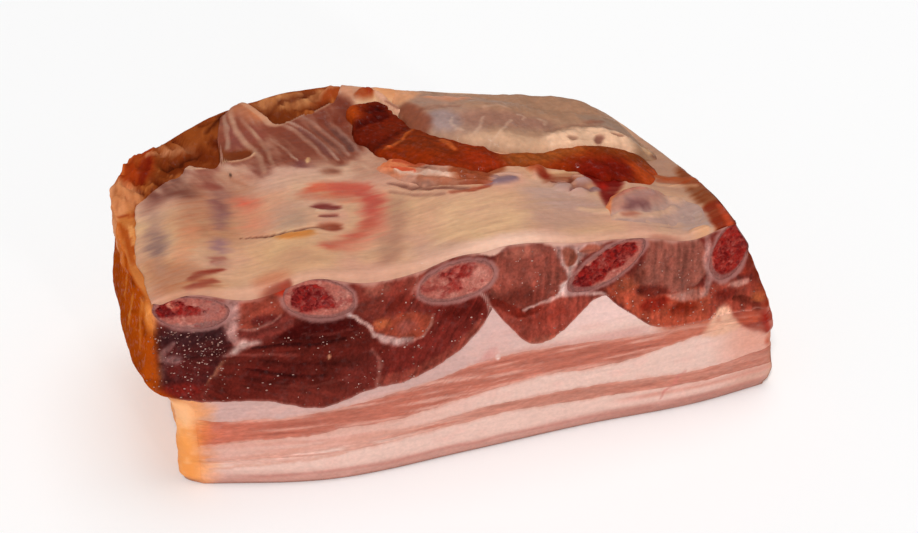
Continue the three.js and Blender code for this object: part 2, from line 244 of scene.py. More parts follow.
slab = {
    "frontLeft": (-99, 0), "frontRight": (73, 0), "backLeft": (-92, 79), "backRight": (55, 69.6),
    "leftEdge": [(-101.5, 20), (-100.5, 42), (-99, 61)],
    "backEdge": [(-72, 89), (-48, 95.5), (-22, 96), (6, 88), (34, 81)],
    "rightEdge": [(72.8, 20), (69.8, 40), (65.4, 55)],
    "middle": (-7.06877, 44.05828),  # plan point that stands at the frame's origin
    "leftSetBack": 10.5, "setBackFrom": 38, "setBackTo": 26,
    "leftBulge": (0.45, 0.08, 0.06),  # swelling of the fat behind the front left corner: share, place, reach
    "rightReach": 15, "rightHeight": 60, "rightPower": 1.5, "rightRound": (2.5, 7),
    "bulgeTop": 3, "bulgeHeight": 45, "rindEdge": (3, 1.5), "cornerRound": 2.2,
    "ribSlant": 0.35, "ribSink": 0.03, "topSlant": 0.15,
    "backRise": curveThrough((-100, 0), (-92, 0.2), (-86, 0.2), (-80, -0.8), (-72, 0), (-64, 2.5), (-57, 4.2),
                             (-48, 3.5), (-36, 3.5), (-24, 5.3), (-14, 4), (-6, 2.2), (4, 0.2), (14, -1.4),
                             (22, -1.8), (30, -1), (38, 0.4), (46, 0.9), (56, 1.2), (70, 1.2)),
    "riseDeep": (-22, -2),  # the back edge's rise starts and ends this far from it
    "trimmedDip": {"depth": 2.6, "x": -78, "y": 75, "reach": 11},
    "topRight": (2.0, 50, 61),  # cut back at the top of the right end: reach, from height, to height
    "cutSteps": 380, "depthSteps": 120, "rindTone": (178, 124, 104),
}
leftEdge = edgeCurve(slab["frontLeft"], *slab["leftEdge"], slab["backLeft"])
backEdge = edgeCurve(slab["backLeft"], *slab["backEdge"], slab["backRight"])
rightEdge = edgeCurve(slab["frontRight"], *slab["rightEdge"], slab["backRight"])
backLine = backEdge(np.linspace(0, 1, 101))
bulgeRind = curveThrough((0, 0), (0.25, 8.5), (0.5, 6.9), (0.7, 4.6), (0.9, 3.7), (1, 0.6))
topCurve = curveThrough((-102, 65), (-89, 67.5), (-72, 65.3), (-54, 67.4), (-38, 65.3), (-24, 66), (-8, 68.6),
                        (8, 68.8), (24, 65.5), (42, 63.5), (58, 59.5), (69, 61.5), (90, 60))
ribs = [dict(zip(("x", "z", "wide", "high", "tilt"), row)) for row in (
    (-88, 60.5, 10.6, 5.3, -15), (-53, 59.4, 10.5, 6.5, -20), (-13.7, 58.2, 11.3, 6.3, 8),
    (31, 54.6, 13, 5.4, 28), (69.6, 51.2, 9.8, 5.8, 78))]
frontLength = slab["frontRight"][0] - slab["frontLeft"][0]


def rightShift(z):
    cutBack, low, high = slab["topRight"]
    reach = slab["rightReach"] * (1 - np.clip(z / slab["rightHeight"], 0, 1) ** slab["rightPower"])
    return reach - cutBack * ramp(z, low, high)


def frontBulge(u, z):
    towardsRind = fade(z, 0, slab["bulgeHeight"])
    return mix(slab["bulgeTop"] * np.sin(np.pi * u), bulgeRind(u), towardsRind)


def planPoint(u, v, z):
    u, v, z = np.broadcast_arrays(np.asarray(u, float), np.asarray(v, float), np.asarray(z, float))
    high, inset = slab["rindEdge"]
    edge = inset * (1 - np.sqrt(np.clip(z / high, 0, 1)))
    front = np.stack([mix(slab["frontLeft"][0], slab["frontRight"][0], u), -frontBulge(u, z)], -1)
    across, deep = u[..., None], v[..., None]
    corners = [np.array(slab[k], float) for k in ("frontLeft", "frontRight", "backLeft", "backRight")]
    flat = mix(mix(corners[0], corners[1], across), mix(corners[2], corners[3], across), deep)
    p = mix(front, backEdge(u), deep) + mix(leftEdge(v), rightEdge(v), across) - flat
    share, place, reach = slab["leftBulge"]
    setBack = slab["leftSetBack"] * (1 - share * bell(v - place, reach))
    left = setBack * fade(z, slab["setBackTo"], slab["setBackFrom"]) + edge
    right = rightShift(z) - edge - slab["rightRound"][0] * fade(z, 0, slab["rightRound"][1])
    return p[..., 0] + left * (1 - u) ** 3 + right * u**3, p[..., 1] + mix(edge, -edge, v)


def topHeight(x, y):
    dip = slab["trimmedDip"]
    swell = slab["backRise"](x) * ramp(y - np.interp(x, backLine[:, 0], backLine[:, 1]), *slab["riseDeep"])
    hollow = dip["depth"] * bell(np.hypot(x - dip["x"], y - dip["y"]), dip["reach"])
    return topCurve(x - slab["topSlant"] * y) + swell - hollow


# Where the membrane ends towards the back: ragged at the left, a film with a notch further right
tornLine = curveThrough((-104, 48), (-98, 53), (-92, 57.5), (-88, 60), (-84, 61.5), (-82, 64.5),
                        (-79.5, 68.6), (-77, 66.6), (-73, 65.2), (-71, 65.8), (-69.6, 67.6),
                        (-68.8, 70.4), (-67.6, 78), (-65, 88), (-60.4, 92.5), (-56.4, 97.5), (-53.5, 91),
                        (-50, 84.5), (-47, 81.5), (-43, 82), (-38, 84.5), (-31, 87), (-26, 90),
                        (-22, 97), (-18, 110))
leftSide = leftEdge(np.linspace(0, 1, 101))
# How far the membrane stays back from the left side
leftBare = curveThrough((-4, 0.4), (3, 1.2), (12, 2.6), (25, 3.0), (38, 4.2), (48, 6), (60, 7))


def along(x, y):  # where the line of a rib through a place meets the front
    return x - slab["ribSlant"] * y


def pleuraThickness(x, y):
    overRib = np.max([bell(along(x, y) - rib["x"], 9) for rib in ribs], axis=0)
    torn = ramp(y - tornLine(x), -7, -1)
    fromLeft = x - np.interp(y, leftSide[:, 1], leftSide[:, 0]) - leftBare(y)
    between = mix(2.7, 1.4, ramp(x, -8, 0) * fade(y, 8, 20))
    return mix(mix(between, 0.9, overRib), 0.6, np.maximum(torn, fade(fromLeft, 0, 3)))


def wavy(x, y, amount, seed):
    p = level(x, y)
    return amount * (noise(p, 8, seed) + 0.5 * noise(p, 2.8, seed + 1) + 0.4 * noise(p, 1.3, seed + 2))


lobes = [
    curveThrough((-104, 35), (-90, 31), (-70, 28.6), (-53, 24.5), (-36, 28), (-28, 28.4), (-16.5, 32.4),
                 (-10, 36.6), (-6.4, 40.2), (-4, 44.4), (-3, 48)),
    curveThrough((-3, 48), (0.4, 43.6), (3.9, 38.9), (7, 35.2), (10.3, 33.2), (14.4, 33), (19.4, 35.6),
                 (24.3, 40.2), (28.5, 44), (32, 44.8)),
    curveThrough((32, 44.8), (35.6, 40.4), (41.2, 35.4), (46, 31.4), (55, 29.4), (70, 30), (90, 30.5)),
]
thinLow = curveThrough((-100, 8), (-60, 9.3), (-30, 10.3), (0, 11.8), (30, 10), (62, 9), (88, 8.5))
thinHigh = curveThrough((-100, 9), (-60, 10.8), (-30, 12.7), (4, 15), (30, 14.4), (62, 13), (88, 15))
streakLow = curveThrough((-100, 13.5), (-60, 16.2), (-20, 18), (14, 21.5), (34, 20.7), (60, 24.5), (88, 25))
streakHigh = curveThrough((-100, 24), (-60, 22.4), (-25, 26), (-4, 30), (24, 30), (50, 28.2), (88, 28.5))


def ground(x, y):
    return 0 * x


def thinFloor(x, y):
    return thinLow(along(x, y)) + wavy(x, y, 0.3, 11)


def thinRoof(x, y):
    return np.maximum(thinHigh(along(x, y)) + wavy(x, y, 0.3, 14), thinFloor(x, y) + 0.5)


def streakFloor(x, y):
    return np.maximum(streakLow(along(x, y)) + wavy(x, y, 0.45, 17), thinRoof(x, y) + 0.8)


def streakRoof(x, y):
    return streakHigh(along(x, y)) + wavy(x, y, 0.4, 20)


def leanFloor(x, y):
    s = along(x, y)
    lobe = np.where(s < -3, lobes[0](s), np.where(s < 32, lobes[1](s), lobes[2](s)))
    return np.maximum(lobe + wavy(x, y, 0.35, 23), streakRoof(x, y) + 0.9)


def leanRoof(x, y):
    return topHeight(x, y) - pleuraThickness(x, y)


def ribFall(x, y):  # how much higher the top is at depth y along the rib that starts at x
    return topHeight(x + slab["ribSlant"] * y, y) - topHeight(x, 0)


def boundary(u, v, heightOf):
    z = np.full(np.broadcast(u, v).shape, 60.0)
    for _ in range(12):
        x, y = planPoint(u, v, z)
        z = heightOf(x, y)
    return z


def frontWall(x, z):  # depth of the front cut at a place on it
    u = (np.asarray(x, float) - slab["frontLeft"][0]) / frontLength
    for _ in range(10):
        u = np.clip(u + (x - planPoint(u, 0, z)[0]) / frontLength, 0, 1)
    return planPoint(u, 0, z)[1]


def ribGap(x, z):  # distance outside the nearest rib's cut
    gaps = []
    for rib in ribs:
        p, q = turned(x - rib["x"], z - rib["z"], rib["tilt"])
        size = np.hypot(p / rib["wide"], q / rib["high"]) + 1e-6
        gaps.append(np.hypot(p, q) * (1 - 1 / size))
    return np.min(gaps, axis=0)


# Mesh: a closed sheet of columns round a wall with a grid on each side of it


def edgeLoop(cut, deep):
    i = np.r_[np.arange(cut), np.full(deep, cut), np.arange(cut, 0, -1), np.zeros(deep, int)]
    j = np.r_[np.zeros(cut, int), np.arange(deep), np.full(cut, deep), np.arange(deep, 0, -1)]
    return i, j


def ringQuads(sides, rows):  # faces between rings of points that follow one another
    k = np.arange(sides)
    after = (k + 1) % sides
    low = sides * np.arange(rows)[:, None]
    return np.stack([low + k, low + after, low + sides + after, low + sides + k], -1).reshape(-1, 4)


def ringLids(sides, rows):  # the two faces that close a row of rings
    return [list(range(sides))[::-1], list(range(rows * sides, (rows + 1) * sides))]


def closedSheet(place, cut, deep, rows, roofRatio, floorRatio):
    i, j = edgeLoop(cut, deep)
    count = len(i)
    loopNumber = {(a, b): k for k, (a, b) in enumerate(zip(i.tolist(), j.tolist()))}
    w = np.linspace(0, 1, rows + 1)[:, None]
    points = [place((i / cut)[None, :], (j / deep)[None, :], w).reshape(-1, 3)]
    share = [np.repeat(w.ravel(), count)]
    quads, others = [ringQuads(count, rows)], []
    total = count * (rows + 1)
    for w, ratio, start in ((1.0, roofRatio, rows * count), (0.0, floorRatio, 0)):
        wide, long = cut // ratio, deep // ratio
        number = np.zeros((wide + 1, long + 1), int)
        inner = np.zeros((wide + 1, long + 1), bool)
        inner[1:-1, 1:-1] = True
        number[inner] = total + np.arange(inner.sum())
        for a in range(wide + 1):
            for b in range(long + 1):
                if not inner[a, b]:
                    number[a, b] = start + loopNumber[(a * ratio, b * ratio)]
        a, b = np.nonzero(inner)
        points.append(place(a * ratio / cut, b * ratio / deep, np.full(len(a), w)))
        share.append(np.full(len(a), w))
        total += len(a)
        turn = 1 if w == 1.0 else -1
        a, b = np.meshgrid(np.arange(wide), np.arange(long), indexing="ij")
        rim = np.zeros(a.shape, bool)
        if ratio > 1:
            rim = (a == 0) | (b == 0) | (a == wide - 1) | (b == long - 1)
        p, q = a[~rim], b[~rim]
        cell = np.stack([number[p, q], number[p + 1, q], number[p + 1, q + 1], number[p, q + 1]], -1)
        quads.append(cell[:, ::turn])
        for p, q in zip(a[rim].tolist(), b[rim].tolist()):
            corners = [(p, q), (p + 1, q), (p + 1, q + 1), (p, q + 1)]
            face = []
            for (a0, b0), (a1, b1) in zip(corners, corners[1:] + corners[:1]):
                face.append(int(number[a0, b0]))
                onEdge = (b0 == b1 and b0 in (0, long)) or (a0 == a1 and a0 in (0, wide))
                if onEdge:
                    for step in range(1, ratio):
                        fine = (a0 * ratio + (a1 - a0) * step, b0 * ratio + (b1 - b0) * step)
                        face.append(start + loopNumber[fine])
            others.append(face[::turn])
    return np.concatenate(points), np.concatenate(share), np.concatenate(quads), others, count


def outwards(points, count, rows):  # level directions out of a wall made of rings
    ring = points[: count * (rows + 1)].reshape(rows + 1, count, 3)
    run = np.roll(ring, -1, axis=1) - np.roll(ring, 1, axis=1)
    out = np.stack([run[..., 1], -run[..., 0], 0 * run[..., 0]], -1)
    return (out / (np.linalg.norm(out, axis=-1, keepdims=True) + 1e-9)).reshape(-1, 3)


def toFrame(points):
    return (points - np.array([*slab["middle"], 0])) / 1000


def linear(colours):  # screen values from 0 to 255 made scene linear
    c = np.clip(colours, 0, 255) / 255
    return np.where(c <= 0.04045, c / 12.92, ((c + 0.055) / 1.055) ** 2.4)


def dress(mesh, colours, shares):  # the attributes that the materials read
    count = len(mesh.vertices)
    layer = mesh.color_attributes.new("tint", "FLOAT_COLOR", "POINT")
    layer.data.foreach_set("color", np.c_[linear(colours), np.ones(count)].astype(np.float32).ravel())
    for label, share in shares.items():
        share = np.broadcast_to(np.asarray(share, np.float32), count).copy()
        mesh.attributes.new(label, "FLOAT", "POINT").data.foreach_set("value", share)


def addObject(name, data):
    thing = bpy.data.objects.new(name, data)
    bpy.context.scene.collection.objects.link(thing)
    return thing


def makePiece(name, points, quads, others, colours, shares, finish, slotName, sharp=50):
    mesh = bpy.data.meshes.new(name)
    sizes = np.r_[np.full(len(quads), 4), np.array([len(f) for f in others], int)].astype(int)
    rest = [np.array(f, int) for f in others]
    corners = np.concatenate([np.asarray(quads, int).ravel(), *rest]).astype(np.int32)
    mesh.vertices.add(len(points))
    mesh.vertices.foreach_set("co", toFrame(points).astype(np.float32).ravel())
    mesh.loops.add(len(corners))
    mesh.loops.foreach_set("vertex_index", corners)
    mesh.polygons.add(len(sizes))
    mesh.polygons.foreach_set("loop_start", np.r_[0, np.cumsum(sizes)[:-1]].astype(np.int32))
    mesh.update(calc_edges=True)
    mesh.validate()
    mesh.shade_smooth()
    mesh.set_sharp_from_angle(angle=math.radians(sharp))
    dress(mesh, colours, shares)
    mesh.materials.append(materials[finish])
    piece = addObject(name, mesh)
    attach(piece, "root")
    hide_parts(name)
    print("belly:", name, len(mesh.polygons), "faces")
    return piece


# Materials: the painted tint with a finer mottle, a moist gloss and a grain in the surface

finishKeys = ("rough", "mottle", "grainSize", "grain", "under", "underDeep", "specular", "film", "filmSize")
finishes = {name: dict(zip(finishKeys, row)) for name, row in {
    "fat": (0.45, 0.06, (900, 900, 1400), 0.15, 0.1, (1.6, 0.7, 0.45), 0.12, 0.35, 650),
    "streakyLean": (0.42, 0.12, (500, 900, 2200), 0.25, 0.06, (1.4, 0.4, 0.25), 0.06, 0.5, 700),
    "ribLean": (0.4, 0.2, (1300, 1300, 1100), 0.6, 0.03, (1.2, 0.3, 0.2), 0.0, 0.2, 600),
    "bone": (0.45, 0.2, (1600, 1600, 1600), 0.5, 0.03, (1.0, 0.4, 0.3), 0.03, 0.3, 900),
    "pleura": (0.42, 0.06, (260, 1100, 900), 0.2, 0.08, (1.5, 0.6, 0.4), 0.1, 0.25, 450),
    "lobeFat": (0.45, 0.08, (700, 700, 700), 0.3, 0.08, (1.5, 0.7, 0.45), 0.1, 0.3, 450),
    "skirt": (0.4, 0.18, (900, 900, 900), 0.4, 0.02, (1.2, 0.3, 0.15), 0.02, 0.28, 520),
}.items()}


def setInputs(node, values):
    for label, value in values.items():
        node.inputs[label].default_value = value


def addNode(tree, kind, values=None, **settings):
    node = tree.nodes.new(kind)
    for label, value in settings.items():
        setattr(node, label, value)
    setInputs(node, values or {})
    return node


def rangeNode(tree, low, high, toLow, toHigh):
    values = {"From Min": low, "From Max": high, "To Min": toLow, "To Max": toHigh}
    return addNode(tree, "ShaderNodeMapRange", values)


def attributeNode(tree, name):
    return addNode(tree, "ShaderNodeAttribute", attribute_name=name)


def wire(tree, *rows):  # each row: a node, its output, the next node, its input
    for source, output, target, entry in rows:
        tree.links.new(source.outputs[output], target.inputs[entry])


def fleshMaterial(name):
    values = finishes[name]
    material = bpy.data.materials.new(name)
    material.use_nodes = True
    tree = material.node_tree
    shader = tree.nodes["Principled BSDF"]
    coords = addNode(tree, "ShaderNodeTexCoord")
    mapping = addNode(tree, "ShaderNodeMapping", {"Scale": values["grainSize"]})
    grain = addNode(tree, "ShaderNodeTexNoise", {"Scale": 1.0, "Detail": 3.0})
    mottle = rangeNode(tree, 0.3, 0.7, 1 - values["mottle"], 1 + values["mottle"])
    shade = addNode(tree, "ShaderNodeMix", data_type="RGBA", blend_type="MULTIPLY")
    fine = attributeNode(tree, "fine")  # how much of the grain shows
    gloss = rangeNode(tree, 0, 1, values["rough"] + 0.2, values["rough"] - 0.14)  # wetter places are smoother
    bump = addNode(tree, "ShaderNodeBump", {"Distance": 0.0004})
    bumpShare = rangeNode(tree, 0, 1, 0, values["grain"])
    wire(tree, (coords, "Object", mapping, "Vector"), (mapping, "Vector", grain, "Vector"),
         (grain, "Fac", mottle, "Value"), (fine, "Fac", shade, 0),
         (attributeNode(tree, "tint"), "Color", shade, 6), (mottle, "Result", shade, 7),
         (shade, 2, shader, "Base Color"),
         (attributeNode(tree, "wet"), "Fac", gloss, "Value"), (gloss, "Result", shader, "Roughness"),
         (fine, "Fac", bumpShare, "Value"), (bumpShare, "Result", bump, "Strength"),
         (grain, "Fac", bump, "Height"), (bump, "Normal", shader, "Normal"))
    # a broken film of moisture that catches the light here and there
    drops = addNode(tree, "ShaderNodeTexNoise", {"Scale": values["filmSize"], "Detail": 2.0})
    film = rangeNode(tree, 0.54, 0.66, 0, values["film"])
    ripple = addNode(tree, "ShaderNodeBump", {"Strength": 0.9, "Distance": 0.0012})
    wire(tree, (coords, "Object", drops, "Vector"), (drops, "Fac", film, "Value"),
         (film, "Result", shader, "Coat Weight"), (drops, "Fac", ripple, "Height"),
         (ripple, "Normal", shader, "Coat Normal"))
    setInputs(shader, {
        "IOR": 1.4, "Specular IOR Level": values["specular"], "Subsurface Weight": values["under"],
        "Subsurface Radius": values["underDeep"], "Subsurface Scale": 0.001, "Coat Roughness": 0.12})
    return material


materials = {name: fleshMaterial(name) for name in finishes}
print("belly: materials made")

# The front cut, painted by place: x and z in millimetres

fatTone = (222, 184, 171)
leanMarks = [
    # left zone under the first rib
    patch((66, 25, 24), [-102, 58, -90, 56, -80, 55.5, -77, 50, -79, 45, -83, 39, -86, 35, -95, 32, -102,
        36], 1, 1.6),
    oval((56, 26, 27), -88, 52.6, 9, 2.8),
    oval((112, 30, 24), -93, 35, 7, 2.6),
    oval((132, 50, 36), -100.5, 46, 2.2, 9, 0.8),
    oval((98, 32, 28), -90, 41.5, 6, 3, 0.7),
    stroke((164, 124, 118), [-93.5, 51, -96.5, 48.4, -97, 46], 0.8, 0.5, 1.2),
    oval((170, 136, 132), -94, 45.6, 2.2, 1.4, 0.55, 0.9),
    oval((150, 104, 98), -97.6, 42, 1.2, 2.2, 0.45, 0.9),
    stroke((190, 140, 105), [-85, 36, -82.5, 39, -80.5, 42, -77.5, 43], 1.2, 0.7, 0.7),
    # the wide muscle in the middle of the left half
    patch((88, 28, 22), [-79, 45, -70, 47.5, -61, 52, -52, 53, -45, 52, -39, 47, -37, 43, -34, 40, -36, 35,
        -37.5, 27, -53, 23, -70, 27, -82, 30, -86, 35, -83, 39], 1, 1.2, 0.35),
    oval((64, 14, 12), -53, 49.5, 12, 3.6),
    oval((110, 42, 34), -56, 27.5, 22, 3.2, 0.8),
    oval((108, 40, 34), -42, 34, 6, 5, 0.7),
    oval((74, 20, 17), -66, 37, 9, 4, 0.5),
    stroke((128, 60, 52), [-76, 44.6, -68, 43.6, -60, 42], 0.5, 0.7),
    # these three dark sunk lines between the fanned fibres: painted shade in the creases
    stroke((50, 12, 11), [-72, 46.4, -62, 45.6, -52, 44.4, -46, 45], 0.5, 0.8, 0.5, -0.35),
    stroke((60, 15, 13), [-70, 42, -60, 38.8, -48, 37], 0.4, 0.6, 0.5, -0.35),
    stroke((50, 12, 11), [-74, 40, -64, 36, -52, 34], 0.5, 0.7, 0.5, -0.3),
    stroke((120, 56, 48), [-58, 48.5, -50, 47.5, -44, 48], 0.4, 0.5),
    stroke((118, 54, 46), [-66, 33, -56, 31.5, -46, 32.5], 0.4, 0.5),
    oval((186, 128, 96), -51, 40, 0.5, 0.7, 0.8),
    # between the first and second rib
    patch((116, 46, 39), [-76, 52.5, -69, 52, -63.5, 55, -61, 54, -61, 51.5, -70, 48.2, -76, 50.5]),
    patch((136, 58, 44), [-75.5, 53.5, -75.5, 60, -73, 63.4, -66, 65, -61, 66.4, -60.5, 62, -62.5, 58, -64,
        55.5, -69, 53], 1, 0.9, 0.45),
    oval((88, 28, 26), -68, 55, 4, 1.8, 0.85),
    patch((184, 136, 128), [-79.5, 56, -79, 62, -77, 67, -73.6, 65.5, -75, 59, -75.8, 53, -78.4, 50], 0.75,
        1.2),
    patch((208, 168, 158), [-80, 44.6, -77.5, 46.6, -75.5, 49.3, -73, 49, -69.5, 47.6, -73, 46.6, -76,
        45.4], 0.85, 1, 0.15),
    stroke((180, 130, 122), [-76.5, 49, -77.2, 52, -76.6, 55], 1.4, 0.7, 1),
    stroke((160, 100, 88), [-75.5, 53.2, -70, 52.3, -64, 55.6], 0.3, 0.6, 0.8),
    # between the second and third rib
    patch((126, 50, 40), [-42.5, 62.5, -38, 64, -30, 64, -25.5, 62.5, -24.5, 57, -27, 55, -28, 51.5, -34,
        50, -39, 50.5, -43, 54], 1, 0.9, 0.45),
    oval((104, 30, 22), -31, 54, 3.5, 2.8, 0.85),
    oval((162, 92, 76), -36.5, 60, 3.5, 2.2, 0.6),
    patch((142, 62, 50), [-29.5, 63.4, -25, 63.8, -22.5, 62, -24, 57, -29, 60], 0.8),
    stroke((165, 100, 88), [-25, 64, -25.4, 60, -27, 57], 0.5, 0.6),
    patch((142, 60, 42), [-38, 49.6, -31, 50.4, -24, 50, -20.3, 47, -21.8, 43.8, -26, 41.8, -31, 42.8, -35,
        44.5, -37.5, 46.5], 1, 0.8, 0.4),
    oval((166, 84, 52), -35.4, 48, 2.4, 1.5, 0.8),
    oval((150, 80, 72), -28.5, 46, 3, 2.4, 0.6),
    # the dark lobe under the third rib
    patch((106, 35, 29), [-36, 36, -34, 40, -28, 40.5, -22, 43, -20, 48, -24, 51, -16, 51.5, -8, 52.2,
        -4.6, 49, -4.6, 44.5, -8, 38, -15, 31, -25, 27, -36, 27], 1, 0.9, 0.4),
    oval((86, 22, 17), -13, 48.6, 7, 2.8, 0.8),
    stroke((142, 64, 51), [-37, 30, -27, 30.2, -17, 34, -10, 39, -6.5, 43], 2.6, 0.75, 1.6),
    stroke((190, 142, 132), [-7, 52.8, -4.2, 49.6, -4.2, 45, -6.6, 41, -10, 37.6], 0.3, 0.8, 0.8),
    patch((208, 166, 156), [-4.6, 44, -4.2, 49, -2.4, 46, -1.8, 43], 0.9, 0.6),
    stroke((150, 88, 78), [-38.5, 40, -36.4, 36, -36.6, 33, -38, 29, -37, 27.6], 0.3, 0.6, 0.9, -0.2),
    stroke((198, 154, 144), [-45.2, 53.2, -41.5, 50.3, -38.8, 47.2, -37.6, 44], 0.5, 0.9, 0.7, 0.1),
    patch((200, 158, 150), [-38, 45.4, -36, 42.2, -32, 40.3, -27.2, 40.6, -26.6, 41.8, -31, 42.7, -34.5,
        44], 0.9),
    stroke((160, 100, 88), [-27, 41.2, -23.6, 42.3, -21.4, 45, -20.4, 48.4], 0.5, 0.65),
    oval((226, 200, 194), -44.8, 52.8, 0.8, 0.8),
    # right of the third rib
    patch((194, 150, 140), [-3, 66, 15, 65, 17.5, 66, 32, 64, 24, 59, 20.5, 54, 19.5, 46.5, 17, 48, 18.5,
        55, 10, 66], 0.85, 1),
    patch((136, 66, 54), [-2.6, 64.8, 3, 67.2, 10, 66.8, 15, 63.6, 16.3, 59, 18.4, 55, 18, 50.5, 14, 47.8,
        8, 45.3, 3, 45.5, -1, 48.5, -4.3, 53, -3.6, 59], 1, 0.7, 0.5),
    oval((104, 42, 33), 4, 49, 8, 3.8, 0.85),
    oval((162, 90, 74), 5, 64.4, 6, 1.8, 0.7),
    patch((142, 72, 55), [17, 62.6, 19.2, 63.2, 21.6, 60.5, 20.6, 57.3, 18.6, 57.4], 1, 0.5, 0.35),
    patch((158, 84, 66), [22.4, 61, 25.5, 63, 29.6, 61.8, 28.5, 60.6, 25, 60], 1, 0.5, 0.3),
    patch((222, 186, 178), [16.4, 51, 18.5, 52.5, 19.8, 50, 20.5, 47.4, 17, 46.8], 0.95),
    patch((150, 64, 51), [-2.5, 48, 2, 46, 8, 44.6, 14, 47, 20, 46.8, 28, 44.6, 30, 43, 22, 36, 14, 30.5,
        8, 31.5, 2, 38.5], 1, 0.8, 0.4),
    oval((168, 90, 70), 12, 33.2, 6, 1.6, 0.7),
    oval((136, 48, 36), 13, 42, 7, 2.6, 0.7),
    stroke((102, 29, 20), [-2.6, 49.6, 1, 46.6, 5, 44, 10.5, 44.2], 2.2, 0.9, 0.9, -0.2),
    stroke((196, 148, 138), [6, 45, 11, 46, 16, 47.5, 20, 47.4, 27, 46, 31, 45.2], 0.4, 0.85, 0.8),
    # right of the fourth rib
    patch((168, 72, 50), [31, 47, 37, 49.5, 41, 47.5, 44, 43, 52, 41, 60, 41.5, 64, 38, 64, 30, 55, 28.5,
        48, 29, 40, 36.5, 33.4, 43], 1, 0.9, 0.3),
    oval((134, 64, 44), 37.4, 47.4, 3.6, 2.2, 0.85),
    oval((124, 32, 21), 46.4, 38.6, 4.6, 2.3, 0.95, 0.6, -0.2),
    oval((112, 32, 17), 55.6, 35.4, 4.4, 2.6, 0.9),
    patch((142, 78, 65), [43, 61.8, 48, 62.2, 55, 60.4, 60, 57, 62, 52, 61.6, 44, 57, 41.3, 50, 41.5, 44,
        43.5, 41, 48, 40.5, 51.5, 43, 55], 1, 0.8, 0.5),
    oval((94, 30, 22), 45.4, 43.2, 5.4, 2, 0.9, 0.6, 0, -12),
    oval((114, 52, 40), 41, 49.4, 2.4, 2.4, 0.7),
    stroke((172, 124, 116), [62.6, 57.5, 62.2, 50, 63.6, 44, 62.5, 39], 1, 0.75, 1.2),
    patch((172, 116, 104), [50, 40.8, 56, 41, 62, 40.5, 63.5, 38, 59, 37, 53, 38.3], 0.8),
]
endMarks = [  # over every layer at the right end
    oval(None, 86, 28, 7, 11, 1, 0.9, 1.8),
    patch((140, 58, 44), [64.5, 41, 72, 41, 80, 38, 88, 27, 84, 21, 74, 25, 64, 30], 0.95, 1.2, 0.4),
    oval((108, 32, 24), 69, 37, 3.6, 2, 0.9),
    oval((200, 140, 126), 73, 39.8, 3.6, 1.1, 0.8),
    patch((220, 165, 138), [62, 24, 64.6, 29, 67, 33, 70, 33, 72, 29, 75, 25, 70, 23], 0.9, 1.2),
    oval((176, 76, 52), 77, 28, 3.2, 2.4, 0.9, 0.6, 0.7),
    oval((138, 14, 5), 84, 27, 2.6, 5.4, 0.95, 0.6, 0.8),
    stroke((96, 34, 24), [72, 35, 77, 33, 80, 30], 0.8, 0.8, 1, -0.7),
    oval((170, 84, 50), 79.4, 34.4, 2.4, 1.9, 0.8, 0.6, 0.8),
    oval((150, 50, 34), 74.6, 44, 2.6, 2, 0.7, 0.6, 0.6),
    oval((178, 74, 50), 85, 18, 1.8, 3.6, 0.7),
]
fatMarks = [  # a tinge where the wedge rises, a fine vein, and lean threads at the left
    patch((202, 138, 130), [-9, 30, -6, 32, -2.6, 34, -1.6, 31.6, -3, 29.6], 0.7),
    oval((230, 208, 202), -1.6, 30.4, 0.6, 0.9),
    stroke((196, 112, 104), [49, 5.5, 50.6, 8.2, 53.4, 9.2, 54.4, 12, 57, 13.6], 0.4, 0.5),
    stroke((204, 146, 128), [-87, 9.6, -70, 10.6, -50, 13.2, -25, 13], 0.9, 0.7, 0.6),
    stroke((206, 150, 132), [-86, 6.4, -76, 7.4, -62, 8.4, -48, 9.4], 0.6, 0.6),
    stroke((214, 160, 142), [-88, 14.4, -78, 15.2, -64, 15.4], 0.7, 0.6),
]
ribHalo = (168, 118, 112)
rimTone = (192, 138, 122)


